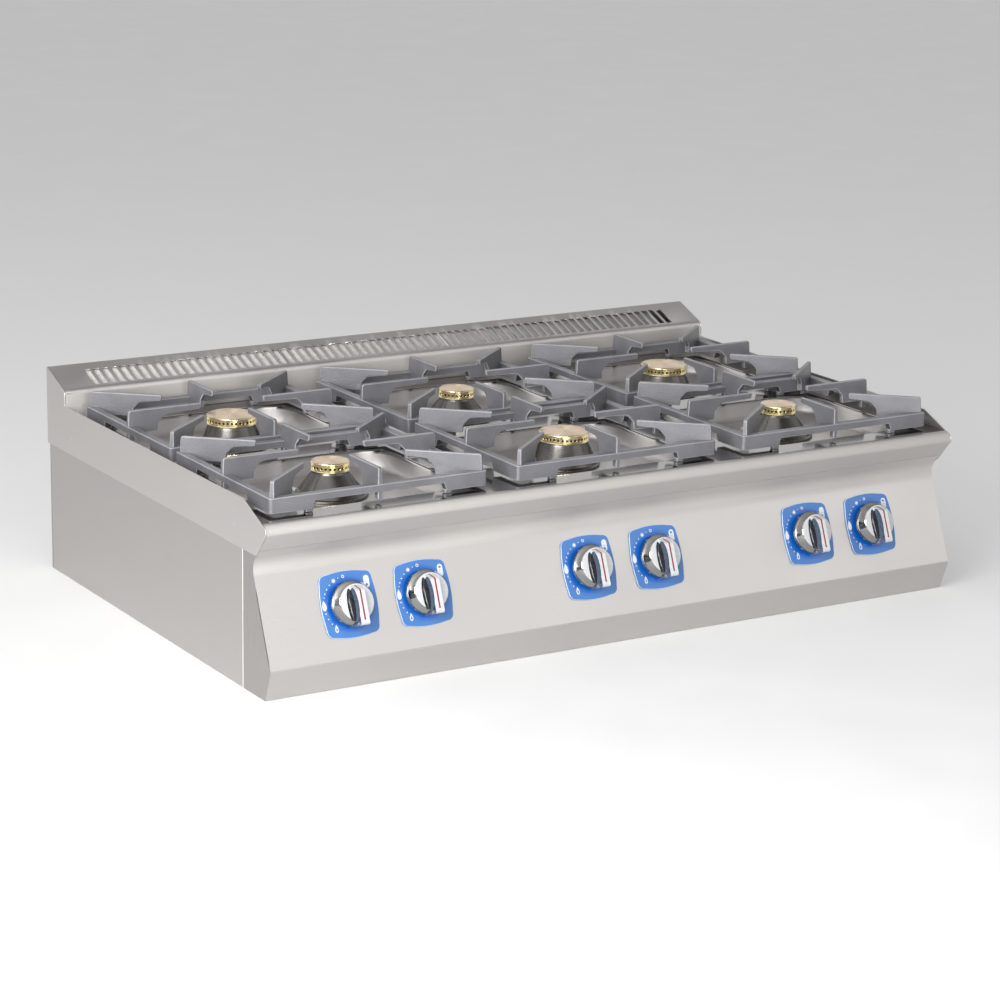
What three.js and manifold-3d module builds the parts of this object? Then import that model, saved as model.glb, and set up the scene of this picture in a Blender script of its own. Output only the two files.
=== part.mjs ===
// A commercial gas range: a modular stainless body with six open burners, lift-off cast grates,
// lift-off burner caps, push-and-turn knobs and a louvred flue along the back.
//
// Units are millimetres and +Z is up. X runs from the cook's left to right, and the controls face -Y.
// Most pieces are drawn in the "depth" frame: its y is the distance behind the foremost line of the
// control fascia, and one nested group moves it so that the origin is under the middle of the body.

import * as THREE from 'three';
import { mergeVertices } from 'three/addons/utils/BufferGeometryUtils.js';
import Module from 'manifold-3d';

// ---------------------------------------------------------------------------------------------
// Driving dimensions
// ---------------------------------------------------------------------------------------------

const WIDTH = 1200;
const DEPTH = 770;
const SHEET = 2; // thickness of the steel sheet
const GAP = 0.3; // clearance between pieces that touch

// Side profile of the body, as [depth, height] points.
const FOOT = [17, 0]; // bottom edge of the fascia
const KNEE = [0, 46]; // foremost line of the fascia
const THROAT = [58, 188]; // the fascia's slope ends in a recess under the nose
const SEAM = [34.5, 212]; // the nose of the hob meets the fascia
const NOSE_FRONT = 11; // foremost depth of the hob's rolled nose
const NOSE_LOW = 239;
const SIDE_TOP = 277; // top edge of the side aprons
const SIDE_TOP_FRONT = 80; // depth where that edge starts to slope down to the nose
const APRON_BOTTOM = 204;
const APRON_NOSE = [5.7, 246]; // sharp corner that the apron's nose is rounded from
const FLUE_FRONT = 700; // depth of the upright face of the flue
const FLUE_BEND = 300.3; // height of the bend over it
const FLUE_TOP = 327.5; // height of the rear top edge, before its bend is rounded

const SIDE_SEAM = 85; // depth of the upright seam between fascia and side panel
const BODY_REAR = 766.3; // outer face of the rear panel
const PANEL_X = WIDTH / 2 - SHEET - GAP; // outer face of the panels behind the aprons

// Hob and burners.
const COLUMN_PITCH = 400;
const ROW_DEPTHS = { front: 199.5, rear: 522.5 };
const HOB_LEVEL = 254;
const WELL_FLOOR = 230;
const WELL = { halfX: 158, halfY: 134, corner: 60 }; // opening of a well in the deck
const BURNER_HOLE = 41;
const CAP_RADIUS = { small: 28.5, large: 38.5 };
const CAP_TOP = 283;
const CAP_HEIGHT = 15;
const CONE_BASE = 56;

// Grates.
const GRATE_X = 350;
const GRATE_Y = 304;
const GRATE_TOP = 305;
const FRAME_TOP = 281;
const FRAME_LOW = 270; // underside of the thin middle of each rail
const BLOCK_LOW = 258.5; // underside of the corner blocks
const RAIL = 13; // width of a rail
const BLOCK = 71; // length of a corner block
const GRATE_CORNER = 5; // outer radius of a corner, seen from above
const FINGER = 7; // thickness of a finger
const FINGER_INSET = 5; // a diagonal finger stops this short of both outer faces
const AXIS_TIP = 53; // distance of a straight finger's tip from the burner's axis
const DIAGONAL_TIP = 110;
const FOOT_X = 111.5; // distance of a foot from the burner's axis, along X
const TIP_HEIGHT = 9;

// Controls, in a frame on the fascia's slope: +Z stands out of it and +Y runs up it.
const KNOB_OFFSET = 60; // each knob stands this far left or right of its column
const KNOB_UP = 0.508; // place on the slope, from knee to throat
const PLATE = { width: 90, height: 96, thick: 2, corner: 16, bulge: 3 };
const KNOB_BASE = 7; // underside of the knob above the fascia
const KNOB_FACE = 27;
// Grip ridge: half its width, its lower and upper end, the upper end's foot, its height and its
// lower end's chamfer.
const RIDGE = { half: 6.5, low: -34, high: 16, foot: 24, top: 42, chamfer: 3 };
const KNOB_RADIUS = 33;
const FACE_RADIUS = 26;
const STEM_RADIUS = 4;
const BORE_RADIUS = 4.6;
const FRONT_HOLE = 7; // hole for the stem in fascia and plate
const VALVE_FROM = 12; // start and end of the valve body behind the fascia
const VALVE_TO = 60;
const PUSH_ROOM = 6; // free depth behind the stem for its push

// Flue louvres.
const SLOT_PITCH = 15;
const SLOT_WIDTH = 11;
const SLOT_LENGTH = 43;
const SLOT_COUNT = 73;
const SLOT_CENTRE = 0.445; // centre of a slot as a share of the slope

// Fineness of round shapes.
const ROUND = 16;
const SMALL_ROUND = 10;
const PIPE_SIDES = 6;
const ARC_STEP = Math.PI / 7; // widest step of a bend's arc

// ---------------------------------------------------------------------------------------------
// Materials
// ---------------------------------------------------------------------------------------------

const paint = (color, roughness, metalness) =>
  new THREE.MeshStandardMaterial({ color, roughness, metalness });

const steelMaterial = paint(0xc9c5c0, 0.38, 1.0);
const darkSteelMaterial = paint(0x9c9a97, 0.5, 1.0);
const ironMaterial = paint(0x8f8f96, 0.6, 0.2);
const brassMaterial = paint(0xcfae7c, 0.35, 0.9);
const coneMaterial = paint(0xb4b2ae, 0.25, 1.0);
const plateMaterial = paint(0x2f7fe6, 0.3, 0.1);
const knobMaterial = paint(0xd8d8da, 0.2, 0.8);
const stemMaterial = paint(0xa8a6a2, 0.4, 1.0);
const valveMaterial = paint(0xb5a06a, 0.45, 0.9);
const pipeMaterial = paint(0xb8b8b4, 0.4, 0.9);

// ---------------------------------------------------------------------------------------------
// Geometry helpers
// ---------------------------------------------------------------------------------------------

const wasm = await Module();
wasm.setup();

/** Turns a closed three.js geometry into a manifold solid. */
function toSolid(geometry) {
  const bare = geometry.clone();
  bare.deleteAttribute('normal');
  bare.deleteAttribute('uv');
  const merged = mergeVertices(bare, 1e-4);
  const index = merged.index.array;
  const kept = [];
  for (let i = 0; i < index.length; i += 3) {
    const [a, b, c] = [index[i], index[i + 1], index[i + 2]];
    if (a !== b && b !== c && c !== a) {
      kept.push(a, b, c);
    }
  }
  return new wasm.Manifold(
    new wasm.Mesh({
      numProp: 3,
      vertProperties: new Float32Array(merged.attributes.position.array),
      triVerts: new Uint32Array(kept),
    }),
  );
}

/** Turns a manifold solid back into a three.js geometry. */
function toGeometry(solid) {
  const mesh = solid.getMesh();
  const geometry = new THREE.BufferGeometry();
  geometry.setAttribute('position', new THREE.BufferAttribute(mesh.vertProperties, 3));
  geometry.setIndex(new THREE.BufferAttribute(mesh.triVerts, 1));
  return geometry;
}

/** Joins several closed geometries into one. */
function join(geometries) {
  const solids = geometries.map(toSolid);
  return toGeometry(solids.reduce((whole, piece) => whole.add(piece)));
}

/** Cuts several closed geometries out of one. */
function cut(geometry, tools) {
  return toGeometry(tools.reduce((whole, tool) => whole.subtract(toSolid(tool)), toSolid(geometry)));
}

/** A path through corners [u, v, radius], with each stated radius as a short arc. */
function roundedPath(corners) {
  const path = [];
  corners.forEach(([u, v, radius = 0], i) => {
    const corner = new THREE.Vector2(u, v);
    if (radius === 0) {
      path.push(corner);
      return;
    }
    const [before, after] = [corners[i - 1], corners[i + 1]];
    const back = new THREE.Vector2(before[0] - u, before[1] - v).normalize();
    const ahead = new THREE.Vector2(after[0] - u, after[1] - v).normalize();
    const half = Math.acos(back.dot(ahead)) / 2;
    const centre = back.clone().add(ahead).normalize().multiplyScalar(radius / Math.sin(half));
    centre.add(corner);
    const reach = radius / Math.tan(half);
    const first = corner.clone().addScaledVector(back, reach).sub(centre);
    const last = corner.clone().addScaledVector(ahead, reach).sub(centre);
    const sweep = Math.atan2(first.cross(last), first.dot(last));
    const steps = Math.max(2, Math.round(Math.abs(sweep) / ARC_STEP));
    for (let k = 0; k <= steps; k += 1) {
      path.push(first.clone().rotateAround(new THREE.Vector2(), (sweep * k) / steps).add(centre));
    }
  });
  return path;
}

/** The outline of a bent sheet: the path is its outer face, the thickness lies to its right. */
function sheetOutline(path, thickness) {
  const inner = path.map((point, i) => {
    const before = path[Math.max(i - 1, 0)];
    const after = path[Math.min(i + 1, path.length - 1)];
    const into = point.clone().sub(before).normalize();
    const out = after.clone().sub(point).normalize();
    const along = into.clone().add(out).normalize();
    const turn = into.lengthSq() && out.lengthSq() ? along.dot(into) : 1;
    return point.clone().add(new THREE.Vector2(along.y, -along.x).multiplyScalar(thickness / turn));
  });
  return new THREE.Shape([...path, ...inner.reverse()]);
}

/** Extrudes an outline drawn in [depth, height] along X. */
function alongX(shape, from, to) {
  const geometry = new THREE.ExtrudeGeometry(shape, { depth: to - from, bevelEnabled: false });
  const turn = new THREE.Matrix4().makeBasis(
    new THREE.Vector3(0, 1, 0),
    new THREE.Vector3(0, 0, 1),
    new THREE.Vector3(1, 0, 0),
  );
  return geometry.applyMatrix4(turn).translate(from, 0, 0);
}

/** Extrudes an outline drawn in [x, height] along the depth. */
function alongDepth(shape, from, to) {
  const geometry = new THREE.ExtrudeGeometry(shape, { depth: to - from, bevelEnabled: false });
  return geometry.rotateX(Math.PI / 2).translate(0, to, 0);
}

/** Extrudes an outline drawn in [x, y] upwards. */
function upwards(shape, from, to) {
  const geometry = new THREE.ExtrudeGeometry(shape, { depth: to - from, bevelEnabled: false });
  return geometry.translate(0, 0, from);
}

/** Turns a closed profile of [radius, height] points, drawn anticlockwise, about Z. */
function revolve(profile, segments = ROUND) {
  const points = profile.map(([radius, height]) => new THREE.Vector2(radius, height));
  if (profile[0][0] > 0) {
    points.push(points[0].clone());
  }
  return new THREE.LatheGeometry(points, segments).rotateX(Math.PI / 2);
}

/** A block between two corners. */
function block([x0, y0, z0], [x1, y1, z1]) {
  const geometry = new THREE.BoxGeometry(x1 - x0, y1 - y0, z1 - z0);
  return geometry.translate((x0 + x1) / 2, (y0 + y1) / 2, (z0 + z1) / 2);
}

/** A plain cylinder about Z. */
function rod(radius, from, to, segments = SMALL_ROUND) {
  const geometry = new THREE.CylinderGeometry(radius, radius, to - from, segments);
  return geometry.rotateX(Math.PI / 2).translate(0, 0, (from + to) / 2);
}

/** A tube bent along a smooth curve through points. */
function pipe(points, radius, steps, sides = PIPE_SIDES) {
  const section = new THREE.Shape();
  section.absarc(0, 0, radius, 0, Math.PI * 2);
  const ring = new THREE.Shape(section.getSpacedPoints(sides).slice(0, sides));
  const curve = new THREE.CatmullRomCurve3(points, false, 'catmullrom', 0.4);
  return new THREE.ExtrudeGeometry(ring, { steps, extrudePath: curve, bevelEnabled: false });
}

/** The points of a rectangle with rounded corners, centred on the origin. */
function rectanglePath(width, height, corner) {
  const [u, v] = [width / 2, height / 2];
  const corners = [
    [-u, -v, corner],
    [u, -v, corner],
    [u, v, corner],
    [-u, v, corner],
  ];
  const wrapped = [corners[3], ...corners, corners[0]];
  const path = [];
  for (let i = 1; i <= 4; i += 1) {
    const arc = roundedPath(wrapped.slice(i - 1, i + 2).map(([a, b, r], k) => [a, b, k === 1 ? r : 0]));
    path.push(...arc.slice(1, -1));
  }
  return path;
}

/** A rectangle with rounded corners, centred on the origin, as a shape or as a hole. */
function roundedRectangle(width, height, corner, Kind = THREE.Shape) {
  return new Kind(rectanglePath(width, height, corner));
}

/** A closed skin through loops of [point, ...] with equal counts; the last loop joins the first. */
function closedLoft(loops) {
  const count = loops[0].length;
  const index = [];
  loops.forEach((_, i) => {
    const [near, far] = [i * count, ((i + 1) % loops.length) * count];
    for (let k = 0; k < count; k += 1) {
      const next = (k + 1) % count;
      index.push(near + k, near + next, far + next, near + k, far + next, far + k);
    }
  });
  const geometry = new THREE.BufferGeometry().setFromPoints(loops.flat());
  return geometry.setIndex(index);
}

// ---------------------------------------------------------------------------------------------
// The tree of pieces
// ---------------------------------------------------------------------------------------------

/** The frame of one control on the fascia's slope, at column x. */
function controlFrame(x) {
  const frame = new THREE.Group();
  const [run, rise] = [THROAT[0] - KNEE[0], THROAT[1] - KNEE[1]];
  frame.position.set(x, KNEE[0] + KNOB_UP * run, KNEE[1] + KNOB_UP * rise);
  frame.rotation.x = Math.atan2(rise, run);
  frame.updateMatrix();
  return frame;
}

// The lower end of a knob's ridge is the foremost point, and the origin is centred between it and
// the back of the flue.
const ridgeEnd = new THREE.Vector3(0, RIDGE.low + RIDGE.chamfer, RIDGE.top);
const foremost = ridgeEnd.applyMatrix4(controlFrame(0).matrix).y;

const range = new THREE.Group();
const body = new THREE.Group();
body.position.y = -(DEPTH + foremost) / 2;
range.add(body);

function addPiece(parent, name, geometry, material) {
  const mesh = new THREE.Mesh(geometry, material);
  mesh.name = name;
  parent.add(mesh);
  return mesh;
}

const columns = [
  { name: 'left', x: -COLUMN_PITCH, sizes: { front: 'small', rear: 'large' } },
  { name: 'middle', x: 0, sizes: { front: 'large', rear: 'small' } },
  { name: 'right', x: COLUMN_PITCH, sizes: { front: 'small', rear: 'large' } },
];

const stations = columns.flatMap((column) =>
  ['front', 'rear'].map((row) => ({
    name: `${row}_${column.name}`,
    x: column.x,
    depth: ROW_DEPTHS[row],
    size: column.sizes[row],
    knobX: column.x + (row === 'front' ? -KNOB_OFFSET : KNOB_OFFSET),
    row,
  })),
);

// ---------------------------------------------------------------------------------------------
// Body panels
// ---------------------------------------------------------------------------------------------

function bottomPanel() {
  const lip = 14;
  const inside = PANEL_X - SHEET - GAP;
  const path = [
    [-inside, lip],
    [-inside, 0],
    [inside, 0],
    [inside, lip],
  ].map(([x, z]) => new THREE.Vector2(x, z));
  const outline = sheetOutline(path.reverse(), SHEET);
  const tray = alongDepth(outline, FOOT[0] + 26, BODY_REAR - SHEET - GAP);
  const vents = [];
  for (let x = -480; x <= 480; x += 120) {
    vents.push(block([x - 40, 560, -5], [x + 40, 572, SHEET + 5]));
    vents.push(block([x - 40, 300, -5], [x + 40, 312, SHEET + 5]));
  }
  return cut(tray, vents);
}

/** A side panel with a narrow flange under the hob; side is -1 on the left and 1 on the right. */
function sidePanel(side) {
  const [outer, top, flange] = [PANEL_X, HOB_LEVEL - SHEET - 0.7, 20];
  const outline = new THREE.Shape(
    [
      [outer, 0],
      [outer, top],
      [outer - flange, top],
      [outer - flange, top - SHEET],
      [outer - SHEET, top - SHEET],
      [outer - SHEET, 0],
    ].map(([x, z]) => new THREE.Vector2(side * x, z)),
  );
  return alongDepth(outline, SIDE_SEAM + GAP, BODY_REAR - SHEET - GAP);
}

const INLET = { x: 480, z: 90, radius: 12 };

function rearPanel() {
  const panel = block([-PANEL_X, BODY_REAR - SHEET, 0], [PANEL_X, BODY_REAR, HOB_LEVEL - 6]);
  const hole = rod(INLET.radius + 3, -20, 20).rotateX(Math.PI / 2).translate(INLET.x, BODY_REAR, INLET.z);
  return cut(panel, [hole]);
}

/** The folded front: bottom flange, knee, sloping face, throat and both end cheeks. */
function controlFascia() {
  const path = roundedPath([
    [FOOT[0] + 25, 0],
    [FOOT[0], 0],
    [...KNEE, 6],
    [...THROAT, 26],
    [SEAM[0] + 0.4, SEAM[1] - 0.6],
  ]);
  const face = alongX(sheetOutline(path, SHEET), -PANEL_X, PANEL_X);
  const cheekTop = APRON_BOTTOM - 0.5;
  const outline = path.filter((point) => point.y < cheekTop);
  const lean = (SEAM[0] - THROAT[0]) / (SEAM[1] - THROAT[1]);
  outline.push(new THREE.Vector2(THROAT[0] + lean * (cheekTop - THROAT[1]) + 1, cheekTop));
  outline.push(new THREE.Vector2(SIDE_SEAM, cheekTop));
  outline.push(new THREE.Vector2(SIDE_SEAM, 0));
  const cheek = new THREE.Shape(outline);
  const left = alongX(cheek, -PANEL_X, SHEET - PANEL_X);
  const right = alongX(cheek, PANEL_X - SHEET, PANEL_X);
  const holes = stations.map(({ knobX }) =>
    rod(FRONT_HOLE, -15, 15).applyMatrix4(controlFrame(knobX).matrix),
  );
  return cut(join([face, left, right]), holes);
}

/** The side wall of the worktop, which follows the nose in front and the flue behind. */
function sideApron(side) {
  const path = roundedPath([
    [41, APRON_BOTTOM],
    [...APRON_NOSE, 8],
    [SIDE_TOP_FRONT, SIDE_TOP, 6],
    [FLUE_FRONT, SIDE_TOP],
    [FLUE_FRONT, FLUE_BEND, 9],
    [DEPTH, FLUE_TOP, 2],
    [DEPTH, APRON_BOTTOM],
  ]);
  const outer = side * (WIDTH / 2);
  const inner = side * (WIDTH / 2 - SHEET);
  return alongX(new THREE.Shape(path), Math.min(outer, inner), Math.max(outer, inner));
}

/** The pressed worktop: rolled nose, flat deck and six rounded wells, each with a burner hole. */
function hobTop() {
  const path = roundedPath([
    [...SEAM],
    [NOSE_FRONT, NOSE_LOW, 6],
    [NOSE_FRONT, HOB_LEVEL, 12],
    [FLUE_FRONT - 1, HOB_LEVEL],
  ]);
  const deck = alongX(sheetOutline(path, SHEET), -PANEL_X, PANEL_X);
  const wellPath = (inset) => {
    const [width, height] = [2 * (WELL.halfX - inset), 2 * (WELL.halfY - inset)];
    const path = rectanglePath(width, height, WELL.corner - inset);
    return path.flatMap((point, i) => {
      const next = path[(i + 1) % path.length];
      const parts = point.distanceTo(next) > WELL.corner ? 3 : 1;
      return Array.from({ length: parts }, (_, k) => point.clone().lerp(next, k / parts));
    });
  };
  const opening = upwards(new THREE.Shape(wellPath(2)), HOB_LEVEL - 10, HOB_LEVEL + 10);
  const openings = stations.map(({ x, depth }) => opening.clone().translate(x, depth, 0));
  const drop = HOB_LEVEL - WELL_FLOOR;
  const bowl = [
    [-1, 0],
    [4, 0],
    [9, 0.15],
    [22, 0.8],
    [32, 1],
  ].map(([inset, share]) => [wellPath(inset), HOB_LEVEL - share * drop]);
  const hole = wellPath(32).map((point) => point.setLength(BURNER_HOLE));
  bowl.push([hole, WELL_FLOOR]);
  const lift = ([path, height], by) => path.map(({ x, y }) => new THREE.Vector3(x, y, height + by));
  const upper = bowl.map((loop) => lift(loop, 0));
  const under = bowl.map((loop) => lift(loop, -SHEET));
  const well = closedLoft([...upper, ...under.reverse()]);
  const wells = stations.map(({ x, depth }) => well.clone().translate(x, depth, 0));
  return join([cut(deck, openings), ...wells]);
}

/** The flue cover: upright face, bend, sloping top with a row of slots, and rear flange. */
function flueCover() {
  const path = roundedPath([
    [FLUE_FRONT, HOB_LEVEL + 0.5],
    [FLUE_FRONT, FLUE_BEND, 9],
    [DEPTH, FLUE_TOP, 2],
    [DEPTH, APRON_BOTTOM],
  ]);
  const cover = alongX(sheetOutline(path, SHEET), -PANEL_X, PANEL_X);
  const slope = Math.atan2(FLUE_TOP - FLUE_BEND, DEPTH - FLUE_FRONT);
  const slots = [];
  for (let i = 0; i < SLOT_COUNT; i += 1) {
    const x = (i - (SLOT_COUNT - 1) / 2) * SLOT_PITCH;
    const slot = new THREE.BoxGeometry(SLOT_WIDTH, SLOT_LENGTH, 12).rotateX(slope);
    const depth = FLUE_FRONT + SLOT_CENTRE * (DEPTH - FLUE_FRONT);
    slots.push(slot.translate(x, depth, FLUE_BEND + SLOT_CENTRE * (FLUE_TOP - FLUE_BEND)));
  }
  return cut(cover, slots);
}

/** A channel across the body, under the deck between the two rows of wells. */
function crossRail() {
  const middle = (ROW_DEPTHS.front + ROW_DEPTHS.rear) / 2;
  const [half, low, high] = [13, 218, 244];
  const path = [
    [middle + half, high],
    [middle + half, low],
    [middle - half, low],
    [middle - half, high],
  ].map(([depth, z]) => new THREE.Vector2(depth, z));
  return alongX(sheetOutline(path, SHEET), 23 - PANEL_X, PANEL_X - 23);
}

addPiece(body, 'bottom_panel', bottomPanel(), darkSteelMaterial);
addPiece(body, 'left_side_panel', sidePanel(-1), steelMaterial);
addPiece(body, 'right_side_panel', sidePanel(1), steelMaterial);
addPiece(body, 'rear_panel', rearPanel(), darkSteelMaterial);
addPiece(body, 'control_fascia', controlFascia(), steelMaterial);
addPiece(body, 'left_side_apron', sideApron(-1), steelMaterial);
addPiece(body, 'right_side_apron', sideApron(1), steelMaterial);
addPiece(body, 'hob_top', hobTop(), steelMaterial);
addPiece(body, 'flue_cover', flueCover(), steelMaterial);
addPiece(body, 'cross_rail', crossRail(), darkSteelMaterial);

// ---------------------------------------------------------------------------------------------
// Gas supply
// ---------------------------------------------------------------------------------------------

const MANIFOLD = { depth: 98.5, z: 89.5, radius: 12, bore: 9, end: 520, joint: 440 };

/** The manifold: a pipe along X, closed on the left and open to the inlet on the right. */
function gasManifold() {
  const length = MANIFOLD.end + MANIFOLD.joint;
  const tube = revolve(
    [
      [0, 0],
      [MANIFOLD.radius, 0],
      [MANIFOLD.radius, length],
      [MANIFOLD.bore, length],
      [MANIFOLD.bore, 5],
      [0, 5],
    ],
    SMALL_ROUND,
  );
  return tube.rotateY(Math.PI / 2).translate(-MANIFOLD.end, MANIFOLD.depth, MANIFOLD.z);
}

/** The inlet: an elbow from the manifold's end to a socket in the rear panel. */
function gasInlet() {
  const tube = pipe(
    [
      new THREE.Vector3(MANIFOLD.joint + 2, MANIFOLD.depth, INLET.z),
      new THREE.Vector3(MANIFOLD.joint + 14, MANIFOLD.depth, INLET.z),
      new THREE.Vector3(INLET.x, MANIFOLD.depth + 32, INLET.z),
      new THREE.Vector3(INLET.x, MANIFOLD.depth + 60, INLET.z),
      new THREE.Vector3(INLET.x, DEPTH - 1, INLET.z),
    ],
    INLET.radius,
    12,
    SMALL_ROUND,
  );
  const socket = rod(8.5, -30, 5).rotateX(-Math.PI / 2).translate(INLET.x, DEPTH - 1, INLET.z);
  return cut(tube, [socket]);
}

addPiece(body, 'gas_manifold', gasManifold(), pipeMaterial);
addPiece(body, 'gas_inlet', gasInlet(), pipeMaterial);

// ---------------------------------------------------------------------------------------------
// Burners
// ---------------------------------------------------------------------------------------------

const BODY_LOW = 168; // mouth of the mixing tube under the burner
const HEAD_TOP = CAP_TOP - CAP_HEIGHT - GAP;

/** The burner body: a cone on the well's floor, over a mixing tube open at both ends. */
function burnerBody(size) {
  const head = CAP_RADIUS[size] - 2.5;
  const mouth = head - 9;
  return revolve([
    [mouth, HEAD_TOP],
    [30, 210],
    [13, BODY_LOW],
    [18, BODY_LOW],
    [36, 206],
    [36, WELL_FLOOR + GAP],
    [CONE_BASE, WELL_FLOOR + GAP],
    [CONE_BASE, WELL_FLOOR + 4],
    [head, HEAD_TOP],
  ]);
}

/** The cap: a flat crowned disc with a plain rim and a spigot that drops into the burner body. */
function burnerCap(size) {
  const radius = CAP_RADIUS[size];
  const low = CAP_TOP - CAP_HEIGHT;
  const spigot = radius - 12.5;
  return revolve([
    [0, low + 6],
    [spigot - 3, low + 6],
    [spigot - 3, low - 7],
    [spigot, low - 7],
    [spigot, low],
    [radius, low],
    [radius, CAP_TOP - 2],
    [radius - 2, CAP_TOP - 0.6],
    [0, CAP_TOP],
  ]);
}

// ---------------------------------------------------------------------------------------------
// Grates
// ---------------------------------------------------------------------------------------------

/** One upright finger that runs inwards from `outer` to `tip`, turned by `angle` about Z. */
function finger(outer, tip, deep, angle) {
  const under = GRATE_TOP - TIP_HEIGHT;
  const path = [
    [outer, FRAME_LOW],
    [outer, GRATE_TOP],
    [tip, GRATE_TOP],
    [tip, under],
    [deep - 6, under - 4],
    [deep, under - 10],
    [deep + 2, FRAME_LOW],
  ].map(([reach, z]) => new THREE.Vector2(reach, z));
  const plate = new THREE.ExtrudeGeometry(new THREE.Shape(path), {
    depth: FINGER,
    bevelEnabled: false,
  });
  return plate.rotateX(Math.PI / 2).translate(0, FINGER / 2, 0).rotateZ(angle);
}

/** One grate, centred on its burner's axis: rails, corner blocks, feet and eight fingers. */
function grate() {
  const [halfX, halfY] = [GRATE_X / 2, GRATE_Y / 2];
  const ring = roundedRectangle(GRATE_X, GRATE_Y, GRATE_CORNER);
  ring.holes.push(roundedRectangle(GRATE_X - 2 * RAIL, GRATE_Y - 2 * RAIL, 4, THREE.Path));
  const tall = upwards(ring, BLOCK_LOW, FRAME_TOP);
  const reliefX = halfX - BLOCK;
  const reliefY = halfY - BLOCK;
  const reliefs = [
    block([-reliefX, -halfY - 5, BLOCK_LOW - 5], [reliefX, halfY + 5, FRAME_LOW]),
    block([-halfX - 5, -reliefY, BLOCK_LOW - 5], [halfX + 5, reliefY, FRAME_LOW]),
  ];
  const pieces = [cut(tall, reliefs)];

  const cornerAngle = Math.atan2(halfY - FINGER_INSET, halfX - FINGER_INSET);
  const cornerReach = Math.hypot(halfX - FINGER_INSET, halfY - FINGER_INSET);
  const diagonalDeep = DIAGONAL_TIP + 0.38 * (cornerReach - DIAGONAL_TIP);
  for (const angle of [cornerAngle, Math.PI - cornerAngle]) {
    for (const turn of [0, Math.PI]) {
      pieces.push(finger(cornerReach, DIAGONAL_TIP, diagonalDeep, angle + turn));
    }
  }
  for (const turn of [0, Math.PI]) {
    pieces.push(finger(halfX - 0.5, AXIS_TIP, halfX - 52, turn));
    pieces.push(finger(halfY - 0.5, AXIS_TIP + 8, halfY - 50, turn + Math.PI / 2));
  }

  const footBottom = HOB_LEVEL + GAP;
  for (const sideX of [-1, 1]) {
    for (const sideY of [-1, 1]) {
      const y = sideY * (halfY - RAIL / 2);
      const x = sideX * FOOT_X;
      pieces.push(block([x - 6, y - 4.5, footBottom], [x + 6, y + 4.5, BLOCK_LOW + 2]));
    }
  }
  for (const side of [-1, 1]) {
    const [half, low, high] = [FINGER / 2, BLOCK_LOW, FRAME_LOW + 2];
    const [x, y] = [side * (halfX - RAIL / 2), side * (halfY - RAIL / 2)];
    pieces.push(block([-half, y - 5, low], [half, y + 5, high]));
    pieces.push(block([x - 5, -half, low], [x + 5, half, high]));
  }
  return join(pieces);
}

// ---------------------------------------------------------------------------------------------
// Controls
// ---------------------------------------------------------------------------------------------

function knobPlate() {
  const [u, v] = [PLATE.width / 2, PLATE.height / 2];
  const { corner, bulge } = PLATE;
  const outline = new THREE.Shape();
  outline.moveTo(corner - u, bulge - v);
  outline.quadraticCurveTo(0, -bulge - v, u - corner, bulge - v);
  outline.quadraticCurveTo(u - bulge, bulge - v, u - bulge, corner - v);
  outline.quadraticCurveTo(u + bulge, 0, u - bulge, v - corner);
  outline.quadraticCurveTo(u - bulge, v - bulge, u - corner, v - bulge);
  outline.quadraticCurveTo(0, v + bulge, corner - u, v - bulge);
  outline.quadraticCurveTo(bulge - u, v - bulge, bulge - u, v - corner);
  outline.quadraticCurveTo(-bulge - u, 0, bulge - u, corner - v);
  outline.quadraticCurveTo(bulge - u, bulge - v, corner - u, bulge - v);
  const flat = new THREE.Shape(outline.getPoints(3).slice(0, -1));
  return cut(upwards(flat, GAP, GAP + PLATE.thick), [rod(FRONT_HOLE, -5, 10)]);
}

/** The knob: a bevelled ring body, a grip ridge that ends in the pointer, and a blind bore. */
function knob() {
  const hollow = 3;
  const bodyShape = revolve([
    [0, KNOB_BASE + hollow],
    [KNOB_RADIUS - 7, KNOB_BASE],
    [KNOB_RADIUS - 2, KNOB_BASE],
    [KNOB_RADIUS, KNOB_BASE + 8],
    [FACE_RADIUS, KNOB_FACE],
    [0, KNOB_FACE],
  ]);
  const outline = [
    [RIDGE.low, RIDGE.top - RIDGE.chamfer],
    [RIDGE.low, KNOB_BASE + 6],
    [RIDGE.foot, KNOB_BASE + 6],
    [RIDGE.foot, KNOB_FACE],
    [RIDGE.high, RIDGE.top],
    [RIDGE.low + RIDGE.chamfer, RIDGE.top],
  ].map(([along, up]) => new THREE.Vector2(along, up));
  const ridge = alongX(new THREE.Shape(outline), -RIDGE.half, RIDGE.half);
  return cut(join([bodyShape, ridge]), [rod(BORE_RADIUS, KNOB_BASE - 5, KNOB_FACE - 4)]);
}

function valveStem() {
  return rod(STEM_RADIUS, -VALVE_TO + 22, KNOB_FACE - 5);
}

/** The valve: a stepped brass body with a bore for the stem and an outlet boss on its upper side. */
function valveBody() {
  const shell = revolve(
    [
      [0, -VALVE_TO],
      [13, -VALVE_TO],
      [13, -VALVE_TO + 30],
      [9, -VALVE_TO + 34],
      [9, -VALVE_FROM],
      [0, -VALVE_FROM],
    ],
    SMALL_ROUND,
  );
  const boss = rod(8, 0, 20).rotateX(-Math.PI / 2).translate(0, 0, -VALVE_TO + 15);
  const bore = rod(BORE_RADIUS, -VALVE_TO + 22 - PUSH_ROOM, 0);
  return cut(join([shell, boss]), [bore]);
}

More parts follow.
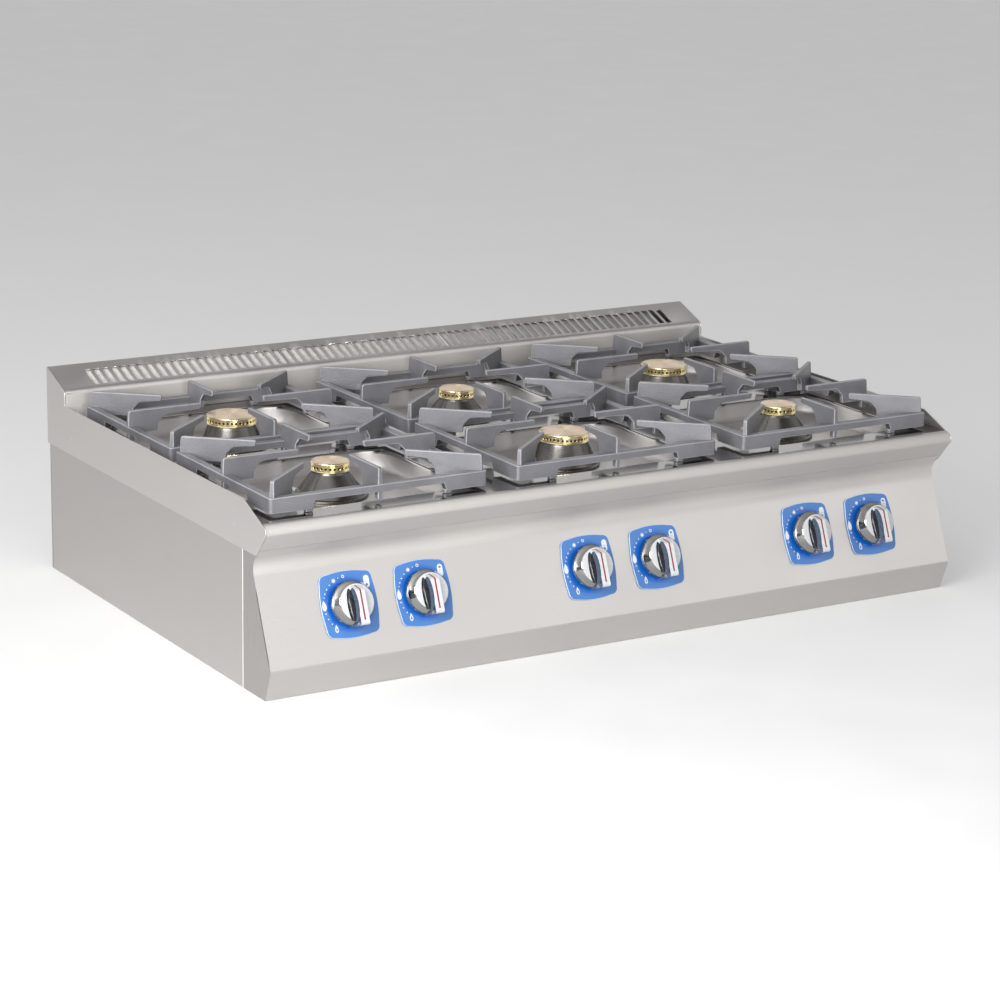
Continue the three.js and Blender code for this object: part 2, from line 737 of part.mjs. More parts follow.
/** The supply pipe from a valve's outlet to the injector under its burner. */
function supplyPipe({ x, depth, knobX, row }) {
  const frame = controlFrame(knobX);
  const outlet = (up) => new THREE.Vector3(0, up, -VALVE_TO + 15).applyMatrix4(frame.matrix);
  const level = 150;
  const run =
    row === 'front'
      ? [new THREE.Vector3((x + knobX) / 2, depth - 45, level)]
      : [
          new THREE.Vector3(knobX, ROW_DEPTHS.front, level),
          new THREE.Vector3(knobX, depth - 150, level),
          new THREE.Vector3((x + knobX) / 2, depth - 60, level),
        ];
  const points = [
    outlet(20 + GAP),
    outlet(30),
    new THREE.Vector3(knobX, 120, level - 6),
    ...run,
    new THREE.Vector3(x, depth - 6, level + 3),
    new THREE.Vector3(x, depth, level + 14),
  ];
  return pipe(points, 5, row === 'front' ? 10 : 16);
}

const grateShape = grate();
const knobShape = knob();
const plateShape = knobPlate();
const stemShape = valveStem();
const valveShape = valveBody();

for (const station of stations) {
  const burner = new THREE.Group();
  burner.position.set(station.x, station.depth, 0);
  body.add(burner);
  addPiece(burner, `burner_body_${station.name}`, burnerBody(station.size), coneMaterial);
  addPiece(burner, `burner_cap_${station.name}`, burnerCap(station.size), brassMaterial);
  addPiece(burner, `grate_${station.name}`, grateShape, ironMaterial);

  const control = controlFrame(station.knobX);
  body.add(control);
  addPiece(control, `knob_plate_${station.name}`, plateShape, plateMaterial);
  addPiece(control, `knob_${station.name}`, knobShape, knobMaterial);
  addPiece(control, `valve_stem_${station.name}`, stemShape, stemMaterial);
  addPiece(control, `valve_body_${station.name}`, valveShape, valveMaterial);
  addPiece(body, `supply_pipe_${station.name}`, supplyPipe(station), pipeMaterial);
}

export default range;
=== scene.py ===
"""Studio scene of a commercial gas range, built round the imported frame.

Lengths are in metres. The controls face -Y and X runs from the cook's left to right. Side profiles
are drawn as (depth, height), where depth is measured back from the foremost line of the fascia.
"""

import functools
import math

import bmesh
import bpy
from mathutils import Matrix, Vector


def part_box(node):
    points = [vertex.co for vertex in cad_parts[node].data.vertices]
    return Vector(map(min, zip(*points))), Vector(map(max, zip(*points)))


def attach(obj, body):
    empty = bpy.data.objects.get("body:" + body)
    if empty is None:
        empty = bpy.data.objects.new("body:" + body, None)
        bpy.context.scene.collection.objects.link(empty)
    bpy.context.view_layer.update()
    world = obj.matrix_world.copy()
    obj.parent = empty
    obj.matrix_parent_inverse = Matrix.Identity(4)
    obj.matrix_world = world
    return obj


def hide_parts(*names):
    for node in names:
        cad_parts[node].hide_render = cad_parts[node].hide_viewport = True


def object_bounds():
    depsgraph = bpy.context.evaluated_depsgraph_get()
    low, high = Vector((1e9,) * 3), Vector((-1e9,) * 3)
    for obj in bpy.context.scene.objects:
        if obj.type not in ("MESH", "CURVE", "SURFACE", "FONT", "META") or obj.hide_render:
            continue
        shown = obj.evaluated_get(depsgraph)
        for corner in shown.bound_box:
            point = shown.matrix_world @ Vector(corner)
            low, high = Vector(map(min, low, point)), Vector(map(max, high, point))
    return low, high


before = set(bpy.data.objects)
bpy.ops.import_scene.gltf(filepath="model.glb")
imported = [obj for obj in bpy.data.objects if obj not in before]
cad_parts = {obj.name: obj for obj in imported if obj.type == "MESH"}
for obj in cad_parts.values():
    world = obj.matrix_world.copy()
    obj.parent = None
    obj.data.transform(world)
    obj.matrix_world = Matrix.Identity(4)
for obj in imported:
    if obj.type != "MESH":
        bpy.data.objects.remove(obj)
cad_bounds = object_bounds()

# ---- Dimensions ----

DEPTH = 0.770
SHEET = 0.002
GAP = 0.0003  # clearance under a piece that rests on another

# Side profile of the body, as (depth, height).
FOOT = (0.017, 0.0)
KNEE = (0.0, 0.046)
THROAT = (0.058, 0.188)
SEAM = (0.0345, 0.212)
NOSE_FRONT = 0.011
NOSE_LOW = 0.239
SIDE_TOP = 0.277
SIDE_TOP_FRONT = 0.080
APRON_BOTTOM = 0.204
APRON_FRONT = 0.041
APRON_NOSE = (0.0057, 0.246)
RIVETS = ((0.677, 0.230), (0.108, 0.232))
FLUE_FRONT = 0.700
FLUE_BEND = 0.3003
FLUE_TOP = 0.3275
SIDE_SEAM = 0.085

# Hob and burners.
HOB = 0.254
DECK_FRONT = 0.0241
DECK_MIDDLE = 0.361
PITCH = 0.400
WELL_FLOOR = 0.230
WELL = (0.158, 0.134)
WELL_CORNER = 0.060
BURNER_HOLE = 0.041
CAP_TOP = 0.283
CAP_HEIGHT = 0.015
CONE_BASE = 0.056
PORT_PITCH = 0.0068
PILOT_REACH = 0.066
PILOT_TURN = math.radians(8)

# Grates.
GRATE_TOP = 0.305
FRAME_TOP = 0.281
FRAME_LOW = 0.270
BLOCK_LOW = 0.2585
RAIL = 0.013
BLOCK = 0.071
GRATE_CORNER, INNER_CORNER = 0.005, 0.004
FOOT_SIZE = (0.012, 0.009)
FINGER = 0.007
FINGER_INSET = 0.005
AXIS_TIP = 0.053
DIAGONAL_TIP = 0.110
FOOT_X = 0.1115
TIP_HEIGHT = 0.009
ARCH_SHARE = 0.38  # of a diagonal finger's length

# Controls, in a frame on the fascia's slope: its Z stands out of the slope and its Y runs up it.
KNOB_UP = 0.508  # as a share of the slope's length
PLATE_WIDTH, PLATE_HEIGHT, PLATE_THICK = 0.090, 0.096, 0.002
PLATE_CORNER, PLATE_BULGE = 0.016, 0.003
KNOB_BASE = 0.007
KNOB_FACE = 0.027
KNOB_RADIUS = 0.033
FACE_RADIUS = 0.026
RIDGE_LOW, RIDGE_HIGH, RIDGE_FOOT, RIDGE_TOP = -0.034, 0.016, 0.024, 0.042
RIDGE_WIDTH, RIDGE_TAPER = 0.0148, 4.5
SCOOP_AT, SCOOP_SIZE = Vector((-0.0102, -0.004, 0.033)), Vector((0.0063, 0.0275, 0.013))
BORE_RADIUS = 0.0046
LINE_WIDTH, LINE_PROUD = 0.0024, 0.0001
PLACE_MARK = (0.0325, 0.0285)

# Slots of the flue; the centre is a share of the way up the sloping plate.
SLOT_PITCH = 0.015
SLOT_WIDTH = 0.011
SLOT_LENGTH = 0.043
SLOT_COUNT = 73
SLOT_CENTRE = 0.445
DARK_SLOTS = 2  # at the right end, past the deflector

# Rear panel: paired banks of louvres, and screws along its edges.
LOUVRE_BANKS = (-0.36, 0.0, 0.30)
LOUVRE_GAP = 0.13
LOUVRE_ROWS, LOUVRE_LOW, LOUVRE_PITCH = 5, 0.060, 0.022
REAR_SCREWS_X = (-0.575, -0.29, 0.0, 0.29, 0.575)
REAR_SCREWS_Z = (0.016, 0.188)

COLUMNS = ("left", "middle", "right")
ROWS = ("front", "rear")
STATIONS = [f"{row}_{column}" for column in COLUMNS for row in ROWS]

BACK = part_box("left_side_apron")[1].y
PANEL_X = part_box("hob_top")[1].x


def at(depth):
    """The Y of a depth."""
    return BACK - DEPTH + depth


def axis_of(station):
    """The plan position of a station's burner."""
    low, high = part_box(f"burner_body_{station}")
    return (low + high) / 2


def knob_x(station):
    low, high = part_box(f"knob_plate_{station}")
    return (low.x + high.x) / 2


# ---- Camera and light ----

VIEW_ANGLES = (-31.3385, 14.9975, 1.0768)  # azimuth, elevation and roll, in degrees
VIEW_SHIFT = (-0.194529, 0.212955)  # from the middle of the fascia's foremost line to the view's middle
VIEW_DISTANCE = 4.51089
ROOM = [(0.0, 0.6), (0.42, 0.90), (0.52, 0.90), (0.66, 0.50), (0.80, 0.24), (1.0, 0.08)]


def new_object(name, data):
    thing = bpy.data.objects.new(name, data)
    bpy.context.collection.objects.link(thing)
    return thing


def add_camera():
    """The photograph's view of the range."""
    azimuth, elevation, roll = (math.radians(a) for a in VIEW_ANGLES)
    back = Vector(
        (
            math.sin(azimuth) * math.cos(elevation),
            -math.cos(azimuth) * math.cos(elevation),
            math.sin(elevation),
        )
    )
    level = Vector((math.cos(azimuth), math.sin(azimuth), 0))
    up = back.cross(level)
    right = math.cos(roll) * level + math.sin(roll) * up
    up = back.cross(right)
    camera = new_object("camera", bpy.data.cameras.new("camera"))
    camera.matrix_world = Matrix((right, up, back)).transposed().to_4x4()
    target = Vector((0, at(0), 0)) + VIEW_SHIFT[0] * right + VIEW_SHIFT[1] * up
    camera.matrix_world.translation = target + VIEW_DISTANCE * back
    camera.data.lens = 109.45
    camera.data.sensor_width = 36
    camera.data.clip_end = 100
    bpy.context.scene.camera = camera


def add_light(name, place, size, power, aim=(0, 0, 0.2)):
    data = bpy.data.lights.new(name, "AREA")
    data.shape = "RECTANGLE"
    data.size, data.size_y = size
    data.energy = power
    light = new_object(name, data)
    light.location = place
    light.rotation_euler = (Vector(aim) - Vector(place)).to_track_quat("-Z", "Y").to_euler()


def new_ramp(nodes, stops):
    """A colour ramp node with stops (position, colour)."""
    node = nodes.new("ShaderNodeValToRGB")
    elements = node.color_ramp.elements
    while len(elements) < len(stops):
        elements.new(0.5)
    for element, (position, color) in zip(elements, stops):
        element.position = position
        element.color = (*color, 1)
    return node


def add_world():
    """A pale room that darkens towards its ceiling: ROOM is (the sine of the elevation, level)."""
    world = bpy.data.worlds.new("studio")
    bpy.context.scene.world = world
    world.use_nodes = True
    nodes, links = world.node_tree.nodes, world.node_tree.links
    place = nodes.new("ShaderNodeTexCoord")
    split = nodes.new("ShaderNodeSeparateXYZ")
    ramp = new_ramp(nodes, [(position, (level,) * 3) for position, level in ROOM])
    links.new(place.outputs["Generated"], split.inputs[0])
    links.new(split.outputs["Z"], ramp.inputs[0])
    links.new(ramp.outputs[0], nodes["Background"].inputs["Color"])
    nodes["Background"].inputs["Strength"].default_value = 1.0


add_camera()
add_world()
add_light("key", (-2.35, -1.6, 1.25), (1.6, 1.3), 118)
add_light("fill", (2.4, -3.7, 2.0), (4.5, 2.6), 19)
add_light("front", (-1.1, -2.7, 0.62), (1.1, 0.6), 38)
add_light("top", (-1.6, -0.1, 3.4), (4.2, 3.4), 62, aim=(-0.3, 0, 0.2))
bpy.context.scene.view_settings.view_transform = "Standard"

# ---- Finishes ----


class Finish:
    """A node material on one principled shader."""

    def __init__(self, name, **uniform):
        self.material = bpy.data.materials.new(name)
        self.material.use_nodes = True
        self.nodes = self.material.node_tree.nodes
        self.links = self.material.node_tree.links
        self.shader = self.nodes["Principled BSDF"]
        for socket, value in uniform.items():
            self.shader.inputs[socket.replace("_", " ")].default_value = value
        self.place = self.nodes.new("ShaderNodeTexCoord").outputs["Object"]

    def noise(self, scale, stretch=(1, 1, 1), detail=3, roughness=0.5):
        """Noise of `scale` waves a metre, stretched by dividing its frequency along each axis."""
        mapping = self.nodes.new("ShaderNodeMapping")
        mapping.inputs["Scale"].default_value = [1 / s for s in stretch]
        texture = self.nodes.new("ShaderNodeTexNoise")
        texture.inputs["Scale"].default_value = scale
        texture.inputs["Detail"].default_value = detail
        texture.inputs["Roughness"].default_value = roughness
        self.links.new(self.place, mapping.inputs["Vector"])
        self.links.new(mapping.outputs[0], texture.inputs["Vector"])
        return texture.outputs["Fac"]

    def span(self, source, low, high, start=0.3, end=0.7):
        """Maps start..end of a source to low..high."""
        node = self.nodes.new("ShaderNodeMapRange")
        for socket, value in zip(("From Min", "From Max", "To Min", "To Max"), (start, end, low, high)):
            node.inputs[socket].default_value = value
        self.links.new(source, node.inputs["Value"])
        return node.outputs[0]

    def combine(self, first, second, operation="ADD"):
        node = self.nodes.new("ShaderNodeMath")
        node.operation = operation
        self.links.new(first, node.inputs[0])
        if isinstance(second, float):
            node.inputs[1].default_value = second
        else:
            self.links.new(second, node.inputs[1])
        return node.outputs[0]

    def axes(self):
        """The piece's own X, Y and Z."""
        split = self.nodes.new("ShaderNodeSeparateXYZ")
        self.links.new(self.place, split.inputs[0])
        return split.outputs

    def radius(self, axes):
        """The distance from the piece's own Z axis."""
        squares = [self.combine(axes[name], axes[name], "MULTIPLY") for name in "XY"]
        return self.combine(self.combine(*squares), 0.5, "POWER")

    def color(self, source, first, second, start=0.3, end=0.7):
        """Colours from first to second as the source goes from start to end."""
        ramp = new_ramp(self.nodes, [(start, first), (end, second)])
        self.links.new(source, ramp.inputs[0])
        self.links.new(ramp.outputs[0], self.shader.inputs["Base Color"])

    def roughness(self, source):
        self.links.new(source, self.shader.inputs["Roughness"])

    def bump(self, source, height):
        node = self.nodes.new("ShaderNodeBump")
        node.inputs["Distance"].default_value = height
        node.inputs["Strength"].default_value = 1.0
        self.links.new(source, node.inputs["Height"])
        self.links.new(node.outputs[0], self.shader.inputs["Normal"])


def tone(level, tint=(1.0, 1.0, 1.0)):
    return tuple(level * t for t in tint)


def brushed(name, level, tint, gloss, grain, depth=0.000002, streak=0.04, dull=()):
    """Brushed sheet steel whose lines run along the long axis of `grain`.

    `dull` lists (axis, edge, matt, soft): the roughness is `matt` below the edge on the axis, over
    a change `soft` wide. A negative `soft` puts the dull zone above the edge."""
    finish = Finish(name, Metallic=1.0)
    lines = finish.noise(900, grain, detail=4, roughness=0.65)
    cloud = finish.noise(5, detail=3)
    finish.color(lines, tone(level * (1 - streak), tint), tone(level, tint))
    wear = finish.combine(
        finish.span(cloud, gloss * 0.85, gloss * 1.2), finish.span(lines, -0.03, 0.04)
    )
    if dull:
        axes = finish.axes()
        zones = [
            finish.span(axes[axis], matt - gloss, 0, edge - soft, edge)
            for axis, edge, matt, soft in dull
        ]
        dullest = functools.reduce(lambda a, b: finish.combine(a, b, "MAXIMUM"), zones)
        wear = finish.combine(wear, dullest)
    finish.roughness(wear)
    finish.bump(lines, depth)
    return finish.material


# Tints, grains stretched along X, Y and Z, surfaces as (depth, streak), and zones of roughness.
WARM, PALE = (1.0, 0.965, 0.935), (1, 0.99, 0.97)
LEVEL, UPRIGHT, COARSE, FINE = (60, 1.5, 1), (1, 1.5, 60), (40, 2, 1), (60, 1.2, 1)
SATIN, PLAIN, POLISH = (0.0000012, 0.025), (0.0000015, 0.03), (0.0000006, 0.03)
throat_dull = (("Z", 0.168, 0.68, -0.016),)
flue_face = (("Y", at(FLUE_FRONT + 0.004), 0.75, 0.005),)
roll_dull = ("Y", at(0.028), 0.78, 0.012)
hob_dull = (roll_dull, ("Z", HOB - 0.0004, 0.34, 0.004))
nose_dull = (roll_dull, ("Z", NOSE_LOW + 0.006, 0.78, 0.004))
fascia_steel = brushed("fascia_steel", 0.555, WARM, 0.34, LEVEL, *SATIN, throat_dull)
apron_steel = brushed("apron_steel", 0.62, WARM, 0.34, LEVEL, *PLAIN)
side_steel = brushed("side_steel", 0.51, WARM, 0.36, UPRIGHT, *PLAIN)
# A brighter copy of the sheet steel for folds and bevelled rims: a painted highlight.
highlight_steel = brushed("highlight_steel", 0.92, WARM, 0.50, UPRIGHT)
# A darker copy of the sheet steel for the fascia's end cheeks: painted shade.
cheek_shade_steel = brushed("cheek_shade_steel", 0.40, WARM, 0.34, UPRIGHT, *SATIN)
flue_steel = brushed("flue_steel", 0.56, WARM, 0.42, LEVEL, dull=flue_face)
hob_steel = brushed("hob_steel", 0.72, WARM, 0.09, FINE, *POLISH, hob_dull)
# A darker copy of the hob steel for the flat deck: painted shade and a painted dark reflection of the
# grates.
deck_shade_steel = brushed("deck_shade_steel", 0.40, WARM, 0.09, FINE, *POLISH, hob_dull)
# A darker copy of the hob steel for the rolled nose: painted shade under the grates.
nose_shade_steel = brushed("nose_shade_steel", 0.50, WARM, 0.09, FINE, *POLISH, nose_dull)
inner_steel = brushed("inner_steel", 0.55, PALE, 0.45, COARSE, 0.000006, 0.10)


def spun_finish(name, level, tint, gloss, depth):
    """Metal turned on a lathe: fine rings about the piece's own upright axis."""
    finish = Finish(name, Metallic=1.0)
    axes = finish.axes()
    join = finish.nodes.new("ShaderNodeCombineXYZ")
    finish.links.new(finish.radius(axes), join.inputs["X"])
    finish.links.new(axes["Z"], join.inputs["Z"])
    place, finish.place = finish.place, join.outputs[0]
    rings = finish.noise(1500, detail=3, roughness=0.6)
    finish.place = place
    cloud = finish.noise(60, detail=3)
    finish.color(cloud, tone(level * 0.9, tint), tone(level, tint), 0.35, 0.65)
    wear = finish.span(cloud, gloss * 0.8, gloss * 1.25)
    finish.roughness(finish.combine(wear, finish.span(rings, -0.04, 0.05)))
    finish.bump(rings, depth)
    return finish.material


burner_steel = spun_finish("burner_steel", 0.12, (1.0, 0.96, 0.90), 0.24, 0.000002)
cap_brass = spun_finish("cap_brass", 0.82, (1.0, 0.80, 0.58), 0.30, 0.000003)
cap_shader = cap_brass.node_tree.nodes["Principled BSDF"]
cap_shader.inputs["Anisotropic"].default_value = 0.8
cap_shader.inputs["Anisotropic Rotation"].default_value = 0.25
rim_brass = spun_finish("rim_brass", 0.98, (1.0, 0.84, 0.46), 0.16, 0.0000005)
valve_brass = spun_finish("valve_brass", 0.72, (1.0, 0.78, 0.42), 0.35, 0.000004)
valve_steel = spun_finish("valve_steel", 0.66, (1, 1, 1), 0.30, 0.000004)


def cast_enamel(name, level, pebble):
    """Satin grey enamel over cast iron: pebbled, a little darker and duller in patches."""
    finish = Finish(name, Metallic=0.0, Coat_Weight=0.35, Coat_Roughness=0.28)
    finish.shader.inputs["Specular IOR Level"].default_value = 0.6
    pebbles = finish.noise(380, detail=4, roughness=0.6)
    cloud = finish.noise(18, detail=4, roughness=0.55)
    tint = (1, 1, 1.09)
    speckle = finish.combine(finish.span(cloud, 0.15, 0.75), finish.span(pebbles, 0, 0.25))
    finish.color(speckle, tone(level * 0.78, tint), tone(level * 1.25, tint), 0.2, 0.9)
    finish.roughness(finish.span(cloud, 0.50, 0.36))
    finish.bump(pebbles, pebble)
    return finish.material


def chrome_finish(name, level, gloss):
    """Chrome with a faint haze and ripple."""
    finish = Finish(name, Metallic=1.0)
    haze = finish.noise(90, detail=4)
    finish.color(haze, tone(level * 0.96), tone(level))
    finish.roughness(finish.span(haze, gloss * 0.7, gloss * 1.4))
    finish.bump(finish.noise(260, detail=2), 0.000006)
    return finish.material


def enamel(name, deep, pale, inner=0.036, outer=0.042):
    """Glossy printed blue, stronger in a disc about the knob."""
    finish = Finish(name, Roughness=0.35, Coat_Weight=0.4, Coat_Roughness=0.15)
    radius = finish.radius(finish.axes())
    mottle = finish.span(finish.noise(120, detail=3), -0.0012, 0.0012)
    finish.color(finish.span(finish.combine(radius, mottle), 0, 1, inner, outer), deep, pale, 0, 1)
    finish.bump(finish.noise(700, detail=2), 0.000008)
    return finish.material


def plain_paint(name, low, high, gloss, scale=300, height=0.00002, **uniform):
    """A fine-grained coat that wavers between two colours."""
    finish = Finish(name, **uniform)
    grain = finish.noise(scale, detail=4)
    finish.color(grain, low, high)
    finish.roughness(finish.span(grain, gloss * 0.85, gloss * 1.15))
    finish.bump(grain, height)
    return finish.material


grate_iron = cast_enamel("grate_iron", 0.092, 0.0005)
# Lighter enamel for the bevelled edges of the grates: a painted highlight.
grate_highlight = cast_enamel("grate_highlight", 0.17, 0.0003)
# A very dark enamel for the faces that look down: painted shade under the grates.
grate_under = cast_enamel("grate_under", 0.016, 0.0005)
knob_chrome = chrome_finish("knob_chrome", 0.32, 0.08)
plate_blue = enamel("plate_blue", (0.0, 0.066, 0.30), (0.024, 0.105, 0.30))
# A very dark coat for the walls and floors of the cap's ports: painted shade inside them.
port_shade = plain_paint("port_shade", (0.010, 0.007, 0.004), (0.03, 0.02, 0.012), 0.5, 500)
plate_edge = plain_paint("plate_edge", (0.26, 0.34, 0.50), (0.32, 0.40, 0.56), 0.25)
# A pale coat for the knob's face and ridge: a painted reflection on the chrome.
knob_reflection_white = plain_paint("knob_reflection_white", (0.36, 0.37, 0.38), (0.41, 0.42, 0.43), 0.3, Coat_Weight=0.3)
# Dark coats for the knob's scoop: painted shade next to the face and a painted dark reflection above it.
scoop_shade_black = plain_paint("scoop_shade_black", (0.010, 0.011, 0.014), (0.02, 0.022, 0.028), 0.18)
scoop_reflection_slate = plain_paint("scoop_reflection_slate", (0.045, 0.06, 0.09), (0.07, 0.09, 0.13), 0.2)
mark_white = plain_paint("mark_white", (0.42, 0.44, 0.46), (0.48, 0.50, 0.52), 0.35)
line_red = plain_paint("line_red", (0.14, 0.006, 0.006), (0.19, 0.009, 0.008), 0.35)
gas_pipe = plain_paint("gas_pipe", (0.50, 0.49, 0.46), (0.62, 0.61, 0.58), 0.38, 140, Metallic=1.0)
pale_steel = plain_paint("pale_steel", (0.35, 0.34, 0.33), (0.46, 0.45, 0.43), 0.55, 120)
floor_paint = plain_paint("floor_paint", (0.39, 0.39, 0.39), (0.41, 0.41, 0.41), 0.7, 6, 0.0002)
floor_shader = floor_paint.node_tree.nodes["Principled BSDF"]
floor_shader.inputs["Emission Color"].default_value = (1, 1, 1, 1)
floor_shader.inputs["Emission Strength"].default_value = 0.27

# ---- Mesh helpers ----


def rounded(corners, step=8):
    """A path through corners (u, v[, radius]); each radius is an arc of steps of `step` degrees."""
    path = []
    for i, (u, v, *radius) in enumerate(corners):
        corner = Vector((u, v))
        if not radius:
            path.append(corner)
            continue
        back = (Vector(corners[i - 1][:2]) - corner).normalized()
        ahead = (Vector(corners[(i + 1) % len(corners)][:2]) - corner).normalized()
        half = math.acos(max(-1, min(1, back.dot(ahead)))) / 2
        centre = corner + (back + ahead).normalized() * (radius[0] / math.sin(half))
        reach = radius[0] / math.tan(half)
        first = corner + back * reach - centre
        last = corner + ahead * reach - centre
        sweep = math.atan2(first.cross(last), first.dot(last))
        steps = max(2, math.ceil(abs(sweep) / math.radians(step)))
        for k in range(steps + 1):
            path.append(centre + Matrix.Rotation(sweep * k / steps, 2) @ first)
    return path


def polar(radius, turn, centre=(0, 0)):
    return (centre[0] + radius * math.cos(turn), centre[1] + radius * math.sin(turn))


def turns_of(count, start=0.0):
    """Even angles round a circle."""
    return [start + 2 * math.pi * k / count for k in range(count)]


def dress(mesh, materials, crease):
    """Shades a mesh smooth, with edges over `crease` degrees sharp, and gives it its materials."""
    mesh.shade_smooth()
    mesh.set_sharp_from_angle(angle=math.radians(crease))
    mesh.materials.clear()
    for material in materials:
        mesh.materials.append(material)


def to_mesh(name, bm, *materials, closed=False):
    """Turns a bmesh into a mesh; the normals of a closed one are made to face outwards."""
    bmesh.ops.remove_doubles(bm, verts=bm.verts, dist=2e-6)
    if closed:
        bmesh.ops.recalc_face_normals(bm, faces=bm.faces)
    mesh = bpy.data.meshes.new(name)
    bm.to_mesh(mesh)
    bm.free()
    dress(mesh, materials, 32)
    return mesh


def add_piece(name, mesh, slot, body="body", stands_for=(), matrix=None, thick=0, bevel=0, rim=0):
    """Adds a piece that rides on a body; `stands_for` names the CAD nodes that it replaces."""
    piece = new_object(name, mesh)
    if matrix is not None:
        piece.matrix_world = matrix
    if thick:
        sheet = piece.modifiers.new("sheet", "SOLIDIFY")
        sheet.thickness = thick
        sheet.offset = -1
        sheet.use_even_offset = True
    if bevel:
        edge = piece.modifiers.new("edge", "BEVEL")
        edge.width = bevel
        edge.segments = 3
        edge.limit_method = "ANGLE"
        edge.angle_limit = math.radians(40)
        if rim:
            edge.material = rim
        piece.modifiers.new("shade", "WEIGHTED_NORMAL").keep_sharp = True
    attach(piece, body)
    if stands_for:
        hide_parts(*stands_for)
    return piece


def weave(bm, rows, leave_out=None, flip=False):
    """Faces between rows of vertices, except those that `leave_out` names by row and column."""
    for i, (first, second) in enumerate(zip(rows, rows[1:])):
        for j in range(len(first) - 1):
            if leave_out and leave_out(i, j):
                continue
            corners = (first[j], first[j + 1], second[j + 1], second[j])
            bm.faces.new(corners[::-1] if flip else corners)


def bridge(bm, outer, inner):
    """A closed band of faces between two loops of vertices."""
    weave(bm, [outer + outer[:1], inner + inner[:1]])


def strip(bm, path, xs, leave_out=None):
    """A bent sheet along X through a side profile; its outer face lies to the path's left."""
    rows = [[bm.verts.new((x, at(p[0]), p[1])) for x in xs] for p in path]
    weave(bm, rows, leave_out)


def prism(bm, outline, place, low, high):
    """A closed prism: `place` puts (u, v) of the outline at the levels low and high."""
    ends = [[bm.verts.new(place(u, v, level)) for u, v in outline] for level in (low, high)]
    bm.faces.new(ends[0][::-1])
    bm.faces.new(ends[1])
    bridge(bm, *ends)


def lathe(bm, profile, segments, centre=(0, 0), closed=False):
    """Turns a profile of (radius, height) about an upright axis."""
    rings = []
    for radius, height in profile:
        if radius < 1e-7:
            rings.append([bm.verts.new((*centre, height))])
            continue
        rings.append(
            [bm.verts.new((*polar(radius, t, centre), height)) for t in turns_of(segments)]
        )
    pairs = list(zip(rings, rings[1:]))
    if closed:
        pairs.append((rings[-1], rings[0]))
    for first, second in pairs:
        for k in range(segments):
            n = (k + 1) % segments
            corners = [first[k % len(first)], first[n % len(first)]]
            corners += [second[n % len(second)], second[k % len(second)]]
            unique = list(dict.fromkeys(corners))
            if len(unique) > 2:
                bm.faces.new(unique)


def holed_cell(bm, low, high, centre, rings, surface, count):
    """Fills the rectangle low..high round a feature of rings (radius, lift) given from outside in.

    `surface` puts (u, v, lift) in space, and `count` is the number of sides of a ring."""
    sides = (high[0] - centre[0], high[1] - centre[1], centre[0] - low[0], centre[1] - low[1])
    turns = turns_of(count)
    for u in (sides[0], -sides[2]):
        for v in (sides[1], -sides[3]):
            turn = math.atan2(v, u) % (2 * math.pi)
            if min(abs(turn - t) for t in turns) > 1e-4:
                turns.append(turn)
    turns.sort()
    edge = []
    for t in turns:
        c, s = math.cos(t), math.sin(t)
        reach_u = sides[0 if c > 0 else 2] / max(abs(c), 1e-9)
        reach_v = sides[1 if s > 0 else 3] / max(abs(s), 1e-9)
        edge.append(bm.verts.new(surface(*polar(min(reach_u, reach_v), t, centre), 0)))
    loops = [edge]
    for radius, lift in rings:
        loops.append([bm.verts.new(surface(*polar(radius, t, centre), lift)) for t in turns])
    for outer, inner in zip(loops, loops[1:]):
        bridge(bm, outer, inner)


def columns_at(bm, depth, height):
    """The distinct X of the vertices on one line along X."""
    spot = Vector((at(depth), height))
    return sorted({round(v.co.x, 6) for v in bm.verts if (v.co.yz - spot).length < 1e-6})


def control_frame(x):
    """The frame of one control on the fascia's slope."""
    run, rise = THROAT[0] - KNEE[0], THROAT[1] - KNEE[1]
    place = Matrix.Translation((x, at(KNEE[0] + KNOB_UP * run), KNEE[1] + KNOB_UP * rise))
    return place @ Matrix.Rotation(math.atan2(rise, run), 4, "X")


def merge(bm, part, matrix):
    """Moves a part by a matrix and adds it to a bmesh."""
    part.transform(matrix)
    mesh = bpy.data.meshes.new("part")
    part.to_mesh(mesh)
    part.free()
    bm.from_mesh(mesh)
    bpy.data.meshes.remove(mesh)


def screw(bm, matrix, radius=0.0042, proud=0.0016):
    """A domed screw head with a round recess, on the XY plane of a frame."""
    profile = [(0, 0.55), (0.16, 0.55), (0.30, 1), (0.7, 0.86), (0.94, 0.45), (1, 0)]
    part = bmesh.new()
    lathe(part, [(r * radius, h * proud) for r, h in profile[::-1]], 20)
    merge(bm, part, matrix)


# ---- Floor ----


def add_floor():
    bm = bmesh.new()
    bmesh.ops.create_grid(bm, x_segments=8, y_segments=8, size=40)
    floor = new_object("floor", to_mesh("floor", bm, floor_paint))
    floor.location.z = cad_bounds[0][2] - 0.0005


# ---- Body ----


def well_loop(inset, bends=14):
    """The outline of a well about its burner, moved inwards by `inset`."""
    half_x, half_y, corner = WELL[0] - inset, WELL[1] - inset, WELL_CORNER - inset
    points = []
    for quarter, (side_x, side_y) in enumerate(((1, 1), (-1, 1), (-1, -1), (1, -1))):
        centre = Vector((side_x * (half_x - corner), side_y * (half_y - corner)))
        for k in range(bends + 1):
            points.append(centre + corner * Vector(polar(1, math.pi / 2 * (quarter + k / bends))))
    return points


